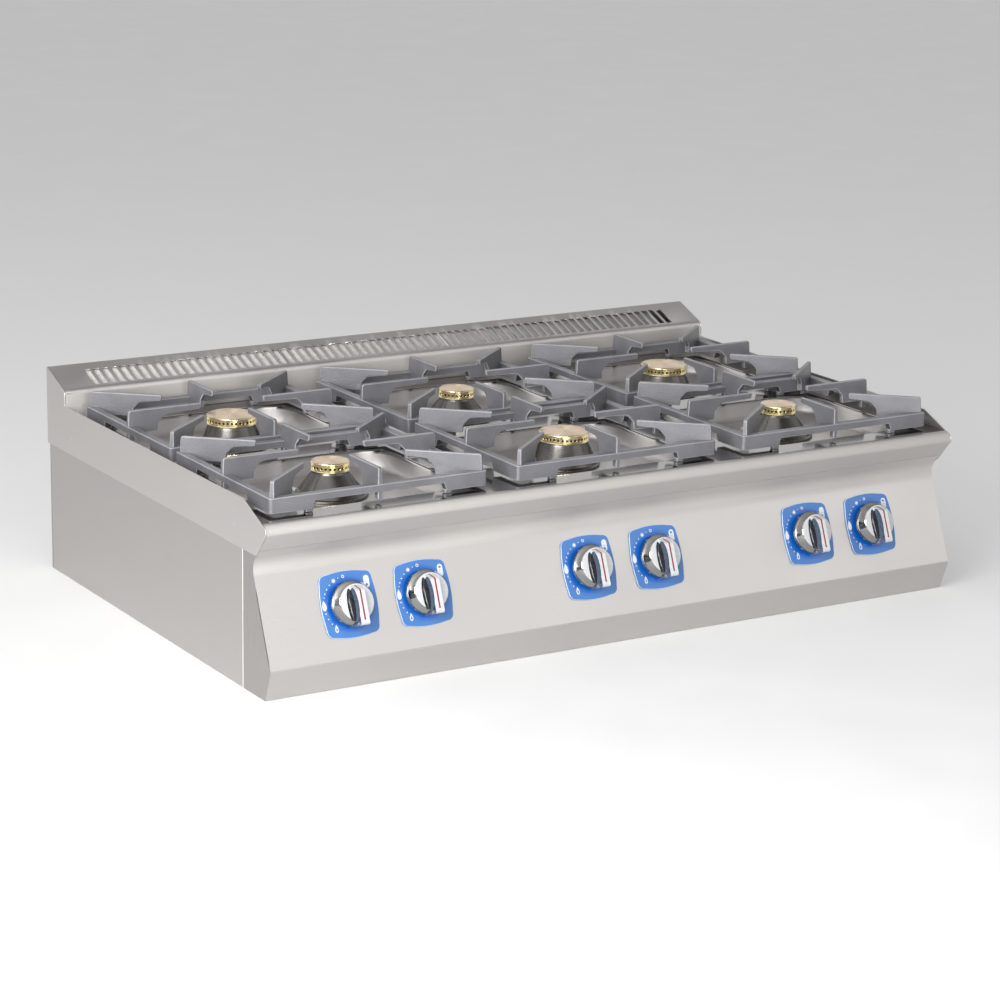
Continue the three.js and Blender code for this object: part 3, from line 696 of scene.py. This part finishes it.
def well_cell(bm, low, high, centre, profile, hole):
    """Fills low..high of the deck round one well of (inset, lift) with a round (radius, lift) hole."""
    outline = well_loop(0)
    count = len(outline)
    picks = [(i, 0.0) for i in range(count)]
    for x in (low[0], high[0]):
        for y in (low[1], high[1]):
            corner = Vector((x, y)) - centre
            for i in range(count):
                before = outline[i].cross(corner)
                after = outline[(i + 1) % count].cross(corner)
                if before > 0 >= after and outline[i].dot(corner) > 0:
                    picks.append((i, before / (before - after)))
    picks.sort()

    def picked(points):
        return [points[i].lerp(points[(i + 1) % count], share) for i, share in picks]

    sides = (high[0] - centre.x, centre.x - low[0], high[1] - centre.y, centre.y - low[1])
    edge = []
    for p in picked(outline):
        reach_x = sides[0 if p.x > 0 else 1] / max(abs(p.x), 1e-9)
        reach_y = sides[2 if p.y > 0 else 3] / max(abs(p.y), 1e-9)
        edge.append(centre + p * min(reach_x, reach_y))
    rows = [(edge, 0)]
    rows += [([centre + p for p in picked(well_loop(inset))], lift) for inset, lift in profile]
    for radius, lift in hole:
        rows.append(([centre + radius * p.normalized() for p in picked(outline)], lift))
    loops = [[bm.verts.new((p.x, p.y, HOB + lift)) for p in points] for points, lift in rows]
    for outer, inner in zip(loops, loops[1:]):
        bridge(bm, outer, inner)


def add_hob():
    """The pressed worktop: six rounded wells in a flat deck that rolls over into the nose."""
    bm = bmesh.new()
    drop = HOB - WELL_FLOOR
    profile = rounded([(-0.012, 0), (0.002, 0, 0.009), (0.026, -drop, 0.020), (0.046, -drop)])
    hole = rounded([(0.060, -drop), (BURNER_HOLE + 0.003, -drop, 0.002), (BURNER_HOLE, -drop - 0.003)])
    middle = at(DECK_MIDDLE)
    rows = {"front": (at(DECK_FRONT), middle), "rear": (middle, at(FLUE_FRONT - 0.001))}
    half = PITCH / 2
    spans = {"left": (-PANEL_X, -half), "middle": (-half, half), "right": (half, PANEL_X)}
    for column, (x0, x1) in spans.items():
        for row, (y0, y1) in rows.items():
            centre = axis_of(f"{row}_{column}").xy
            well_cell(bm, (x0, y0), (x1, y1), centre, profile, hole)
    nose = [SEAM, (NOSE_FRONT, NOSE_LOW, 0.006), (NOSE_FRONT, HOB, 0.012), (DECK_FRONT, HOB)]
    strip(bm, rounded(nose, 6), columns_at(bm, DECK_FRONT, HOB))
    mesh = to_mesh("hob_top", bm, hob_steel, nose_shade_steel, deck_shade_steel, highlight_steel)
    on_shaded_nose, on_shaded_deck, on_rim = 1, 2, 3
    # The flat deck and the rolled nose take darker copies of the hob steel: painted shade.
    for face in mesh.polygons:
        if face.center.y < at(DECK_FRONT):
            face.material_index = on_shaded_nose
        elif face.normal.z > 0.999 and face.center.z > HOB - 0.0001:
            face.material_index = on_shaded_deck
    # The rim's bevel faces take the brighter steel: a painted highlight.
    cad, looks = ("hob_top",), {"thick": SHEET, "bevel": 0.0009, "rim": on_rim}
    add_piece("hob_pressing", mesh, "hob_steel", stands_for=cad, **looks)


def add_fascia():
    """The folded front with its knob holes, and the cheeks that close its ends."""
    run, rise = THROAT[0] - KNEE[0], THROAT[1] - KNEE[1]
    length = math.hypot(run, rise)
    flat_low, flat_high = 0.012 / length, 1 - 0.018 / length
    bm = bmesh.new()

    def on_slope(share):
        return (KNEE[0] + share * run, KNEE[1] + share * rise)

    def surface(u, v, lift):
        depth, height = on_slope(v / length)
        return (u, at(depth) + lift * rise / length, height - lift * run / length)

    holes = sorted(knob_x(station) for station in STATIONS)
    walls = [-PANEL_X] + [(a + b) / 2 for a, b in zip(holes, holes[1:])] + [PANEL_X]
    for x, x0, x1 in zip(holes, walls, walls[1:]):
        low, high = (x0, flat_low * length), (x1, flat_high * length)
        rings = [(0.009, 0), (0.007, 0)]
        holed_cell(bm, low, high, (x, KNOB_UP * length), rings, surface, 24)
    xs = columns_at(bm, *on_slope(flat_low))
    lower = rounded([(FOOT[0] + 0.025, FOOT[1]), (*FOOT, 0.002), (*KNEE, 0.006), on_slope(flat_low)])
    strip(bm, lower, xs)
    upper = rounded([on_slope(flat_high), (*THROAT, 0.026), (SEAM[0] + 0.0004, SEAM[1] - 0.0006)])
    strip(bm, upper, columns_at(bm, *on_slope(flat_high)))
    cheek_top = APRON_BOTTOM - 0.0005
    outline = [p for p in lower[:-1] + upper if p[1] < cheek_top]
    outline += [(outline[-1][0] - 0.004, cheek_top), (SIDE_SEAM, cheek_top), (SIDE_SEAM, 0)]
    for side in (-1, 1):
        corners = [bm.verts.new((side * PANEL_X, at(p[0]), p[1])) for p in outline]
        bm.faces.new(corners[::-1] if side > 0 else corners)
    mesh = to_mesh("control_fascia", bm, fascia_steel, cheek_shade_steel)
    # The end cheeks take the darker steel: painted shade.
    for face in mesh.polygons:
        face.material_index = 1 if abs(face.normal.x) > 0.9 else 0
    add_piece("fascia", mesh, "body_steel", stands_for=("control_fascia",), thick=SHEET, bevel=0.0008)


def add_side_panels():
    """Folded side sheets whose rounded front fold shows as the upright seam."""
    for side, node in ((-1, "left_side_panel"), (1, "right_side_panel")):
        low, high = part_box(node)
        outer = high.x if side > 0 else low.x
        inner, fold = outer - side * 0.018, 0.0028
        front, rear = [(inner, low.y), (outer, low.y, fold)], [(outer, high.y, fold), (inner, high.y)]
        path = rounded(front + rear)
        levels = [low.z, low.z + 0.001, low.z + 0.012, high.z]
        bm = bmesh.new()
        rows = [[bm.verts.new((p[0], p[1], z)) for p in path] for z in levels]
        weave(bm, rows, flip=side < 0)
        mesh = to_mesh(node, bm, side_steel, highlight_steel)
        # The front fold takes the brighter steel: a painted highlight along the upright seam.
        for face in mesh.polygons:
            face.material_index = 1 if face.normal.y < -0.3 else 0
        add_piece(f"{node}_sheet", mesh, "body_steel", stands_for=(node,), thick=SHEET, bevel=0.0005)


def add_aprons():
    """The side walls of the worktop, each with its two rivets."""
    front = [(APRON_FRONT, APRON_BOTTOM, 0.002), (*APRON_NOSE, 0.008), (SIDE_TOP_FRONT, SIDE_TOP, 0.006)]
    notch = [(FLUE_FRONT, SIDE_TOP, 0.003), (FLUE_FRONT, FLUE_BEND, 0.009)]
    outline = rounded(front + notch + [(DEPTH, FLUE_TOP, 0.002), (DEPTH, APRON_BOTTOM, 0.002)])
    for side, node in ((-1, "left_side_apron"), (1, "right_side_apron")):
        low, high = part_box(node)
        outer = high.x if side > 0 else low.x
        bm = bmesh.new()
        face = outer - side * 0.0003
        prism(bm, outline, lambda u, v, x: (x, at(u), v), outer - side * SHEET, face)
        mesh = to_mesh(node, bm, apron_steel, closed=True)
        add_piece(f"{node}_plate", mesh, "body_steel", stands_for=(node,), bevel=0.0006)
        rivets = bmesh.new()
        for depth, height in RIVETS:
            turn = Matrix.Rotation(side * math.pi / 2, 4, "Y")
            place = Matrix.Translation((outer - side * 0.0004, at(depth), height))
            part = bmesh.new()
            lathe(part, [(0.0038, 0), (0.0034, 0.0003), (0.0016, 0.0004), (0, 0.0002)], 24)
            merge(rivets, part, place @ turn)
        add_piece(f"{node}_rivets", to_mesh("rivets", rivets, valve_steel), "body_steel")


def add_flue():
    """The louvred flue cover, and the pale deflector that shows through its slots."""
    slope = math.hypot(DEPTH - FLUE_FRONT, FLUE_TOP - FLUE_BEND)
    half = SLOT_LENGTH / 2 / slope
    marks = [
        (FLUE_FRONT + s * (DEPTH - FLUE_FRONT), FLUE_BEND + s * (FLUE_TOP - FLUE_BEND))
        for s in (SLOT_CENTRE - half, SLOT_CENTRE + half)
    ]
    front = [(FLUE_FRONT, HOB + 0.0005), (FLUE_FRONT, FLUE_BEND, 0.009)]
    path = rounded([*front, *marks, (DEPTH, FLUE_TOP, 0.002), (DEPTH, APRON_BOTTOM)], 6)
    slot_row = next(i for i, p in enumerate(path) if (p - Vector(marks[0])).length < 1e-6)
    xs = [-PANEL_X]
    for i in range(SLOT_COUNT):
        x = (i - (SLOT_COUNT - 1) / 2) * SLOT_PITCH
        xs += [x - SLOT_WIDTH / 2, x + SLOT_WIDTH / 2]
    xs.append(PANEL_X)
    bm = bmesh.new()
    strip(bm, path, xs, lambda i, j: i == slot_row and j % 2 == 1 and j < len(xs) - 2)
    mesh = to_mesh("flue_cover", bm, flue_steel)
    add_piece("flue_hood", mesh, "body_steel", stands_for=("flue_cover",), thick=SHEET, bevel=0.0003)
    baffle = bmesh.new()
    front, rear = marks[0][0] + 0.002, DEPTH - SHEET - 0.003
    top = marks[1][1] + 0.0015
    low, deep = top - 0.026, top - 0.03
    curve = rounded([(front - 0.006, low), (front, low, 0.003), (rear, top, 0.002), (rear, deep)])
    strip(baffle, curve, [xs[1] - 0.01, xs[-2] + 0.01 - DARK_SLOTS * SLOT_PITCH])
    mesh = to_mesh("flue_deflector", baffle, pale_steel)
    add_piece("flue_deflector", mesh, "inner_steel", thick=0.001)


def add_rear_details():
    """Pressed louvres and screws on the rear panel, within the depth of the flue's flange."""
    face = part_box("rear_panel")[1].y
    steps, half_width, flank, rise, proud = 10, 0.055, 0.003, 0.009, 0.003
    louvres = bmesh.new()
    for bank in LOUVRE_BANKS:
        for row in range(LOUVRE_ROWS):
            z = LOUVRE_LOW + row * LOUVRE_PITCH
            for side in range(2):
                x = bank + (side - 0.5) * LOUVRE_GAP
                xs = [x - half_width, x - half_width + flank, x + half_width - flank, x + half_width]
                grid = []
                for k in range(steps + 1):
                    turn = math.pi / 2 * k / steps
                    y, height = face + proud * math.sin(turn), z + rise * (1 - math.cos(turn))
                    ends = zip(xs, (face, y, y, face))
                    grid.append([louvres.verts.new((*end, height)) for end in ends])
                weave(louvres, grid, flip=True)
    mesh = to_mesh("rear_louvres", louvres, inner_steel)
    add_piece("rear_louvres", mesh, "inner_steel", thick=0.0008)
    screws = bmesh.new()
    for x in REAR_SCREWS_X:
        for z in REAR_SCREWS_Z:
            turn = Matrix.Rotation(-math.pi / 2, 4, "X")
            screw(screws, Matrix.Translation((x, face, z)) @ turn)
    add_piece("rear_screws", to_mesh("rear_screws", screws, valve_steel), "inner_steel")


# ---- Burners ----


def add_burner(station):
    """The steel cone under a cap, with its base flange, and the pilot beside it."""
    axis = axis_of(station)
    low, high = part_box(f"burner_cap_{station}")
    radius = (high.x - low.x) / 2
    head, head_top = radius - 0.0025, CAP_TOP - CAP_HEIGHT - GAP
    place = Matrix.Translation((axis.x, axis.y, 0))
    throat = [(0.013, 0.168), (0.018, 0.168), (0.036, 0.206), (0.036, WELL_FLOOR + GAP)]
    flange = [(CONE_BASE, WELL_FLOOR + GAP, 0.0005), (CONE_BASE, WELL_FLOOR + 0.0032, 0.001)]
    flare = [(CONE_BASE - 0.004, WELL_FLOOR + 0.0042, 0.003), (head + 0.0012, head_top - 0.003, 0.003)]
    mouth = [(head, head_top, 0.0006), (head - 0.009, head_top), (0.030, 0.210)]
    bm = bmesh.new()
    lathe(bm, rounded(throat + flange + flare + mouth, 15), 96, closed=True)
    mesh = to_mesh("burner_cone", bm, burner_steel, closed=True)
    cad = (f"burner_body_{station}",)
    add_piece(f"cone_{station}", mesh, "burner_steel", stands_for=cad, matrix=place)
    add_cap(station, radius, place)
    add_pilot(station, axis)


def add_cap(station, radius, place):
    """The brass cap: a crowned top, two thin beads and a band of round ports between them."""
    low = CAP_TOP - CAP_HEIGHT
    spigot = radius - 0.0125
    band = radius - 0.0006
    band_low, band_high = low + 0.0018, CAP_TOP - 0.0034
    beneath = [(0, low + 0.006), (spigot - 0.003, low + 0.006), (spigot - 0.003, low - 0.007)]
    beneath += [(spigot, low - 0.007), (spigot, low), (radius - 0.0010, low)]
    beneath += [(radius, low + 0.0006), (radius, low + 0.0012), (band, band_low)]
    bead = [(band, band_high), (radius, band_high + 0.0004, 0.0002), (radius, CAP_TOP - 0.0018, 0.0008)]
    crown = [(radius - 0.0022, CAP_TOP - 0.0008, 0.003), (radius * 0.5, CAP_TOP - 0.0002, 0.08)]
    above = rounded(bead + crown + [(0, CAP_TOP)], 20)
    ports = round(2 * math.pi * radius / PORT_PITCH)
    segments = ports * 8
    bm = bmesh.new()
    lathe(bm, beneath, segments)
    lathe(bm, above, segments)
    pitch = 2 * math.pi * band / ports
    middle = (band_low + band_high) / 2 - 0.0004
    rings = [(0.0021, 0), (0.0019, -0.0002), (0.0018, -0.0008), (0.0016, -0.0034), (0.0, -0.0036)]

    def surface(u, v, lift):
        return (*polar(band + lift, u / band), v)

    for k in range(ports):
        u = k * pitch
        cell = (u, band_low), (u + pitch, band_high), (u + pitch / 2, middle)
        holed_cell(bm, *cell, rings, surface, 24)
    mesh = to_mesh("burner_cap", bm, cap_brass, rim_brass, port_shade, closed=True)
    on_top, on_rim, in_port_shade = 0, 1, 2
    for face in mesh.polygons:
        face.material_index = on_top if face.normal.z > 0.6 else on_rim
        # Port walls and floors take the very dark coat: painted shade.
        if band_low < face.center.z < band_high and face.center.xy.length < band - 0.0004:
            face.material_index = in_port_shade
    name, cad = f"cap_{station}", (f"burner_cap_{station}",)
    add_piece(name, mesh, "cap_brass", body=name, stands_for=cad, matrix=place)


def add_pilot(station, axis):
    """The pilot beside a burner: a bent steel hood over a small brass jet."""
    radius, tall, half_length = 0.005, 0.013, 0.009
    base, foot = WELL_FLOOR + 0.004, WELL_FLOOR + 0.0005
    arch = [polar(radius, math.pi * k / 10, (-PILOT_REACH, base + tall)) for k in range(11)]
    path = [(radius - PILOT_REACH, foot), *arch, (-radius - PILOT_REACH, foot)]
    hood = bmesh.new()
    rows = [[hood.verts.new((x, y, z)) for x, z in path] for y in (-half_length, half_length)]
    weave(hood, rows, flip=True)
    place = Matrix.Translation((axis.x, axis.y, 0)) @ Matrix.Rotation(PILOT_TURN, 4, "Z")
    mesh = to_mesh("pilot_hood", hood, valve_steel)
    add_piece(f"pilot_hood_{station}", mesh, "burner_steel", matrix=place, thick=0.0009, bevel=0.0003)
    jet = bmesh.new()
    profile = [(0, 0.012), (0.0012, 0.012), (0.0014, 0.0085), (0.0026, 0.008), (0.0026, -0.003)]
    lathe(jet, [(r, base + z) for r, z in profile], 20, centre=(-PILOT_REACH, 0))
    mesh = to_mesh("pilot_jet", jet, valve_brass)
    add_piece(f"pilot_jet_{station}", mesh, "valve_brass", matrix=place)


# ---- Grates ----


def finger(bm, outer, tip, deep, angle):
    """One upright finger from `outer` to `tip`, arched underneath, with a slight cast draft."""
    under = GRATE_TOP - TIP_HEIGHT
    top = [(outer, FRAME_LOW), (outer - 0.002, GRATE_TOP, 0.004), (tip, GRATE_TOP, 0.002)]
    arch = [(tip + 0.001, under, 0.003), (deep - 0.010, under - 0.002, 0.010)]
    arch += [(deep + 0.001, under - 0.014, 0.006), (deep + 0.002, FRAME_LOW)]
    turn = Matrix.Rotation(angle, 3, "Z")

    def place(u, v, side):
        share = (v - FRAME_LOW) / (GRATE_TOP - FRAME_LOW)
        return turn @ Vector((u, side * (FINGER / 2 + 0.0006 - 0.0012 * share), v))

    prism(bm, rounded(top + arch, 14), place, -1, 1)


def ring_of(half_x, half_y, radius, bends, stations):
    """Plan points round a rounded rectangle, with extra points along each side at `stations`."""
    points = []
    for quarter in range(4):
        long_x = quarter % 2 == 0
        half_long, half_short = (half_x, half_y) if long_x else (half_y, half_x)
        turn = Matrix.Rotation(-math.pi / 2 * quarter, 2)
        side = [Vector((s, half_short)) for s in stations[0 if long_x else 1]]
        centre = Vector((half_long - radius, half_short - radius))
        for k in range(bends + 1):
            side.append(centre + radius * Vector(polar(1, math.pi / 2 - math.pi / 2 * k / bends)))
        points += [turn @ p for p in side]
    return points


def rectangle(u, v, wide, deep):
    """The corners of a rectangle about (u, v), from its half width and half depth."""
    return [(u - wide, v - deep), (u + wide, v - deep), (u + wide, v + deep), (u - wide, v + deep)]


def grate_mesh(half_x, half_y):
    """A cast grate: rails with deep corner blocks, feet, and eight fingers."""
    bm = bmesh.new()
    stations = []
    for half in (half_x, half_y):
        relief = half - BLOCK
        stations.append([-relief - 0.004, -relief, 0, relief, relief + 0.004])
    outer = ring_of(half_x, half_y, GRATE_CORNER, 6, stations)
    inner = ring_of(half_x - RAIL, half_y - RAIL, INNER_CORNER, 6, stations)
    lows = []
    for p in outer:
        along_x = abs(abs(p.y) - half_y) < 1e-6 and abs(p.x) <= half_x - BLOCK + 1e-6
        along_y = abs(abs(p.x) - half_x) < 1e-6 and abs(p.y) <= half_y - BLOCK + 1e-6
        lows.append(FRAME_LOW if along_x or along_y else BLOCK_LOW)
    count = len(outer)
    loops = [
        [bm.verts.new((p.x, p.y, z)) for p, z in zip(points, levels)]
        for points, levels in (
            (outer, lows),
            (outer, [FRAME_TOP] * count),
            (inner, [FRAME_TOP] * count),
            (inner, lows),
        )
    ]
    for first, second in zip(loops, loops[1:] + loops[:1]):
        bridge(bm, first, second)

    angle = math.atan2(half_y - FINGER_INSET, half_x - FINGER_INSET)
    reach = math.hypot(half_x - FINGER_INSET, half_y - FINGER_INSET)
    deep = DIAGONAL_TIP + ARCH_SHARE * (reach - DIAGONAL_TIP)
    for turn in (angle, math.pi - angle, math.pi + angle, 2 * math.pi - angle):
        finger(bm, reach, DIAGONAL_TIP, deep, turn)
    for turn in (0, math.pi):
        finger(bm, half_x - 0.0002, AXIS_TIP, half_x - 0.052, turn)
        finger(bm, half_y - 0.0002, AXIS_TIP + 0.008, half_y - 0.050, turn + math.pi / 2)

    def upright(u, v, z):
        return (u, v, z)

    for side_y in (-1, 1):
        y = side_y * (half_y - RAIL / 2)
        for side_x in (-1, 1):
            foot = rectangle(side_x * FOOT_X, y, FOOT_SIZE[0] / 2, FOOT_SIZE[1] / 2)
            foot = rounded([(*corner, 0.002) for corner in foot])
            prism(bm, foot, upright, HOB + GAP, BLOCK_LOW + 0.002)
        x = side_y * (half_x - RAIL / 2)
        for u, v, wide, deep in ((0, y, FINGER / 2, 0.005), (x, 0, 0.005, FINGER / 2)):
            prism(bm, rectangle(u, v, wide, deep), upright, BLOCK_LOW, FRAME_LOW + 0.002)
    mesh = to_mesh("grate", bm, grate_iron, grate_highlight, grate_under, closed=True)
    # Faces that look down take the very dark enamel: painted shade.
    on_iron, beneath = 0, 2
    for face in mesh.polygons:
        face.material_index = beneath if face.normal.z < -0.3 else on_iron
    return mesh


def add_grates():
    low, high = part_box(f"grate_{STATIONS[0]}")
    half = (high - low) / 2
    mesh = grate_mesh(half.x, half.y)
    for station in STATIONS:
        node = f"grate_{station}"
        low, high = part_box(node)
        centre = (low + high) / 2
        place = Matrix.Translation((centre.x, centre.y, 0))
        # The bevel faces take the lighter enamel: a painted highlight.
        looks = {"matrix": place, "bevel": 0.0014, "rim": 1}
        add_piece(f"casting_{station}", mesh, "grate_iron", body=node, stands_for=(node,), **looks)


# ---- Controls ----


def plate_outline():
    """The bulged, rounded outline of a knob plate, as quadratic curves from end to end."""
    u, v = PLATE_WIDTH / 2, PLATE_HEIGHT / 2
    corner, bulge = PLATE_CORNER, PLATE_BULGE
    ends = [(corner - u, bulge - v), (u - corner, bulge - v)]
    ends += [(u - bulge, corner - v), (u - bulge, v - corner)]
    pulls = [(0, -bulge - v), (u - bulge, bulge - v), (u + bulge, 0), (u - bulge, v - bulge)]
    ends, pulls = ([*half, *((-x, -y) for x, y in half)] for half in (ends, pulls))
    points = []
    for i, pull in enumerate(pulls):
        a, b, c = Vector(ends[i]), Vector(pull), Vector(ends[(i + 1) % len(ends)])
        steps = 12 if i % 2 else 16
        for k in range(steps):
            t = k / steps
            points.append((1 - t) ** 2 * a + 2 * t * (1 - t) * b + t * t * c)
    return points


def flat_shape(bm, points, level):
    bm.faces.new([bm.verts.new((p[0], p[1], level)) for p in points])


def circle(centre, radius, steps=20, start=0.0):
    return [polar(radius, t, centre) for t in turns_of(steps, start)]


def flat_ring(bm, outer, inner, level):
    """A flat band between two outlines with as many points as each other."""
    bridge(bm, *[[bm.verts.new((*p, level)) for p in outline] for outline in (outer, inner)])


def drop_outline(centre, height):
    """A pointed drop that stands upright about a centre."""
    points = []
    for t in turns_of(24):
        x = 0.30 * height * math.sin(t) * math.sin(t / 2)
        points.append((centre[0] - x, centre[1] + 0.5 * height * math.cos(t)))
    return points


def on_arc(degrees, radius=0.0402):
    """A place on the arc of marks round the knob."""
    return polar(radius, math.radians(degrees))


def marks_mesh(front):
    """The printed marks of one plate: off ring, spark, dots, two flames and the burner's place."""
    bm = bmesh.new()
    level = GAP + PLATE_THICK + 0.0001

    def dots(*places):
        for degrees, size in places:
            flat_shape(bm, circle(on_arc(degrees), size, 12), level)

    off = on_arc(94.5)
    flat_ring(bm, circle(off, 0.0023), circle(off, 0.0013), level)
    dots((106, 0.0008))
    star = on_arc(118)
    tips = zip(circle(star, 0.0040, 8), circle(star, 0.0017, 8, math.pi / 8))
    flat_shape(bm, [point for pair in tips for point in pair], level)
    dots((131, 0.0009), (142, 0.0010), (152, 0.0010), (160, 0.0008))
    flat_shape(bm, drop_outline(on_arc(176, 0.0398), 0.0150), level)
    dots((193, 0.0010), (205, 0.0010), (217, 0.0010))
    small = on_arc(230, 0.0412)
    heart = (small[0], small[1] - 0.0012)
    flat_ring(bm, drop_outline(small, 0.0115), drop_outline(heart, 0.0055), level)
    add_place_mark(bm, PLACE_MARK, level, front)
    return to_mesh("marks", bm, mark_white)


def add_place_mark(bm, centre, level, front):
    """A capsule of two stacked circles; the cut-out circle is the burner that the knob feeds."""
    half, radius, width = 0.0046, 0.0044, 0.0028
    cut = (centre[0], centre[1] + (-half if front else half))
    full = (centre[0], centre[1] + (half if front else -half))
    flat_ring(bm, circle(cut, radius), circle(cut, 0.0019), level)
    flat_shape(bm, circle(full, radius, 24), level)
    for side in (-1, 1):
        x = centre[0] + side * (radius - width / 2)
        flat_shape(bm, rectangle(x, centre[1], width / 2, half), level - 0.00005)


def solid_of(bm, name):
    """A closed shape for a boolean operation."""
    mesh = bpy.data.meshes.new(name)
    bmesh.ops.recalc_face_normals(bm, faces=bm.faces)
    bm.to_mesh(mesh)
    bm.free()
    return new_object(name, mesh)


def knob_mesh():
    """The knob: a chromed disc whose face and ridge are coated pale as a painted reflection, with a
    scoop along its left flank coated dark as painted shade and reflection.
    """
    skirt = [(0, KNOB_BASE + 0.003), (KNOB_RADIUS - 0.007, KNOB_BASE)]
    skirt += [(KNOB_RADIUS - 0.001, KNOB_BASE, 0.0008), (KNOB_RADIUS, KNOB_BASE + 0.003, 0.002)]
    rim = [(KNOB_RADIUS - 0.0003, KNOB_BASE + 0.009, 0.006)]
    rim += [(FACE_RADIUS + 0.0012, KNOB_FACE - 0.0012, 0.0015), (FACE_RADIUS, KNOB_FACE, 0.0005)]
    disc = bmesh.new()
    lathe(disc, rounded(skirt + rim + [(0, KNOB_FACE)], 15), 96)
    foot = [(RIDGE_LOW, KNOB_BASE + 0.001), (RIDGE_FOOT, KNOB_BASE + 0.001), (RIDGE_FOOT, KNOB_FACE)]
    crest = [(RIDGE_HIGH, RIDGE_TOP, 0.004), (RIDGE_LOW, RIDGE_TOP, 0.0038)]
    outline = rounded(foot + crest, 12)
    ridge = bmesh.new()

    def flank(v, height, u):
        return (u * (1 - RIDGE_TAPER * (height - KNOB_FACE)), v, height)

    prism(ridge, outline, flank, -RIDGE_WIDTH / 2, RIDGE_WIDTH / 2)
    scoop = bmesh.new()
    bmesh.ops.create_uvsphere(scoop, u_segments=64, v_segments=32, radius=1)
    scoop.transform(Matrix.Translation(SCOOP_AT) @ Matrix.Diagonal((*SCOOP_SIZE, 1)))
    bore, deep = bmesh.new(), KNOB_FACE - 0.004
    lathe(bore, [(0, 0.0), (BORE_RADIUS, 0.0), (BORE_RADIUS, deep), (0, deep)], 24)
    whole = solid_of(disc, "disc")
    tools = [(solid_of(ridge, "ridge"), "UNION")]
    tools += [(solid_of(bm, name), "DIFFERENCE") for bm, name in ((scoop, "scoop"), (bore, "bore"))]
    for tool, operation in tools:
        step = whole.modifiers.new(tool.name, "BOOLEAN")
        step.operation = operation
        step.object = tool
        step.solver = "EXACT"
    graph = bpy.context.evaluated_depsgraph_get()
    mesh = bpy.data.meshes.new_from_object(whole.evaluated_get(graph))
    for solid in [whole] + [tool for tool, _ in tools]:
        shape = solid.data
        bpy.data.objects.remove(solid)
        bpy.data.meshes.remove(shape)
    mesh.name = "knob"
    dress(mesh, (knob_chrome, knob_reflection_white, scoop_shade_black, scoop_reflection_slate), 28)

    def in_scoop(point):
        return abs(sum((r / s) ** 2 for r, s in zip(point - SCOOP_AT, SCOOP_SIZE)) - 1) < 0.03

    # The face and ridge take the pale coat, a painted reflection; the scoop is darkest next to the face
    # and blue-grey above it, painted shade and reflection.
    chrome, reflection_white, shade_black, reflection_slate = range(4)
    for face in mesh.polygons:
        points = [mesh.vertices[i].co for i in face.vertices]
        if all(in_scoop(p) for p in points):
            face.material_index = shade_black if face.center.z < KNOB_FACE + 0.001 else reflection_slate
        elif all(p.z > KNOB_FACE - 0.0001 for p in points):
            face.material_index = reflection_white
        else:
            face.material_index = chrome
    return mesh


def line_mesh():
    """The red line along the ridge and down over its upper end."""
    top = RIDGE_TOP + LINE_PROUD
    corners = [(-0.0270, top), (RIDGE_HIGH, top, 0.004), (RIDGE_FOOT + LINE_PROUD, KNOB_FACE)]
    bm = bmesh.new()
    path = rounded(corners, 10)
    weave(bm, [[bm.verts.new((u, *p)) for u in (-LINE_WIDTH / 2, LINE_WIDTH / 2)] for p in path])
    return to_mesh("knob_line", bm, line_red)


def add_controls():
    """The six plates with their marks, and the six knobs with their lines."""
    plate = bmesh.new()
    prism(plate, plate_outline(), lambda u, v, h: (u, v, h), GAP, GAP + PLATE_THICK)
    plate = to_mesh("plate", plate, plate_blue, plate_edge, closed=True)
    marks = {row: marks_mesh(row == "front") for row in ROWS}
    knob, line = knob_mesh(), line_mesh()
    for station in STATIONS:
        at_control = {"matrix": control_frame(knob_x(station))}
        looks = {"bevel": 0.0007, "rim": 1, **at_control}
        cad = (f"knob_plate_{station}",)
        add_piece(f"plate_{station}", plate, "plate_blue", stands_for=cad, **looks)
        add_piece(f"marks_{station}", marks[station.split("_")[0]], "plate_blue", **at_control)
        body = f"knob_{station}"
        add_piece(f"dial_{station}", knob, "knob_chrome", body=body, stands_for=(body,), **at_control)
        add_piece(f"line_{station}", line, "knob_chrome", body=body, **at_control)


# ---- Assembly ----

add_floor()
add_hob()
add_fascia()
add_side_panels()
add_aprons()
add_flue()
add_rear_details()
for station in STATIONS:
    add_burner(station)
add_grates()
add_controls()

# The finishes of the CAD nodes that are shown as they are, by the starts of their names.
CARRIED = (
    (inner_steel, ("bottom_panel", "rear_panel", "cross_rail")),
    (gas_pipe, ("gas_manifold", "gas_inlet", "supply_pipe")),
    (valve_steel, ("valve_stem",)),
    (valve_brass, ("valve_body",)),
)
for name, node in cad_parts.items():
    for material, stems in CARRIED:
        if name.startswith(stems):
            for slot in node.material_slots:
                slot.material = material
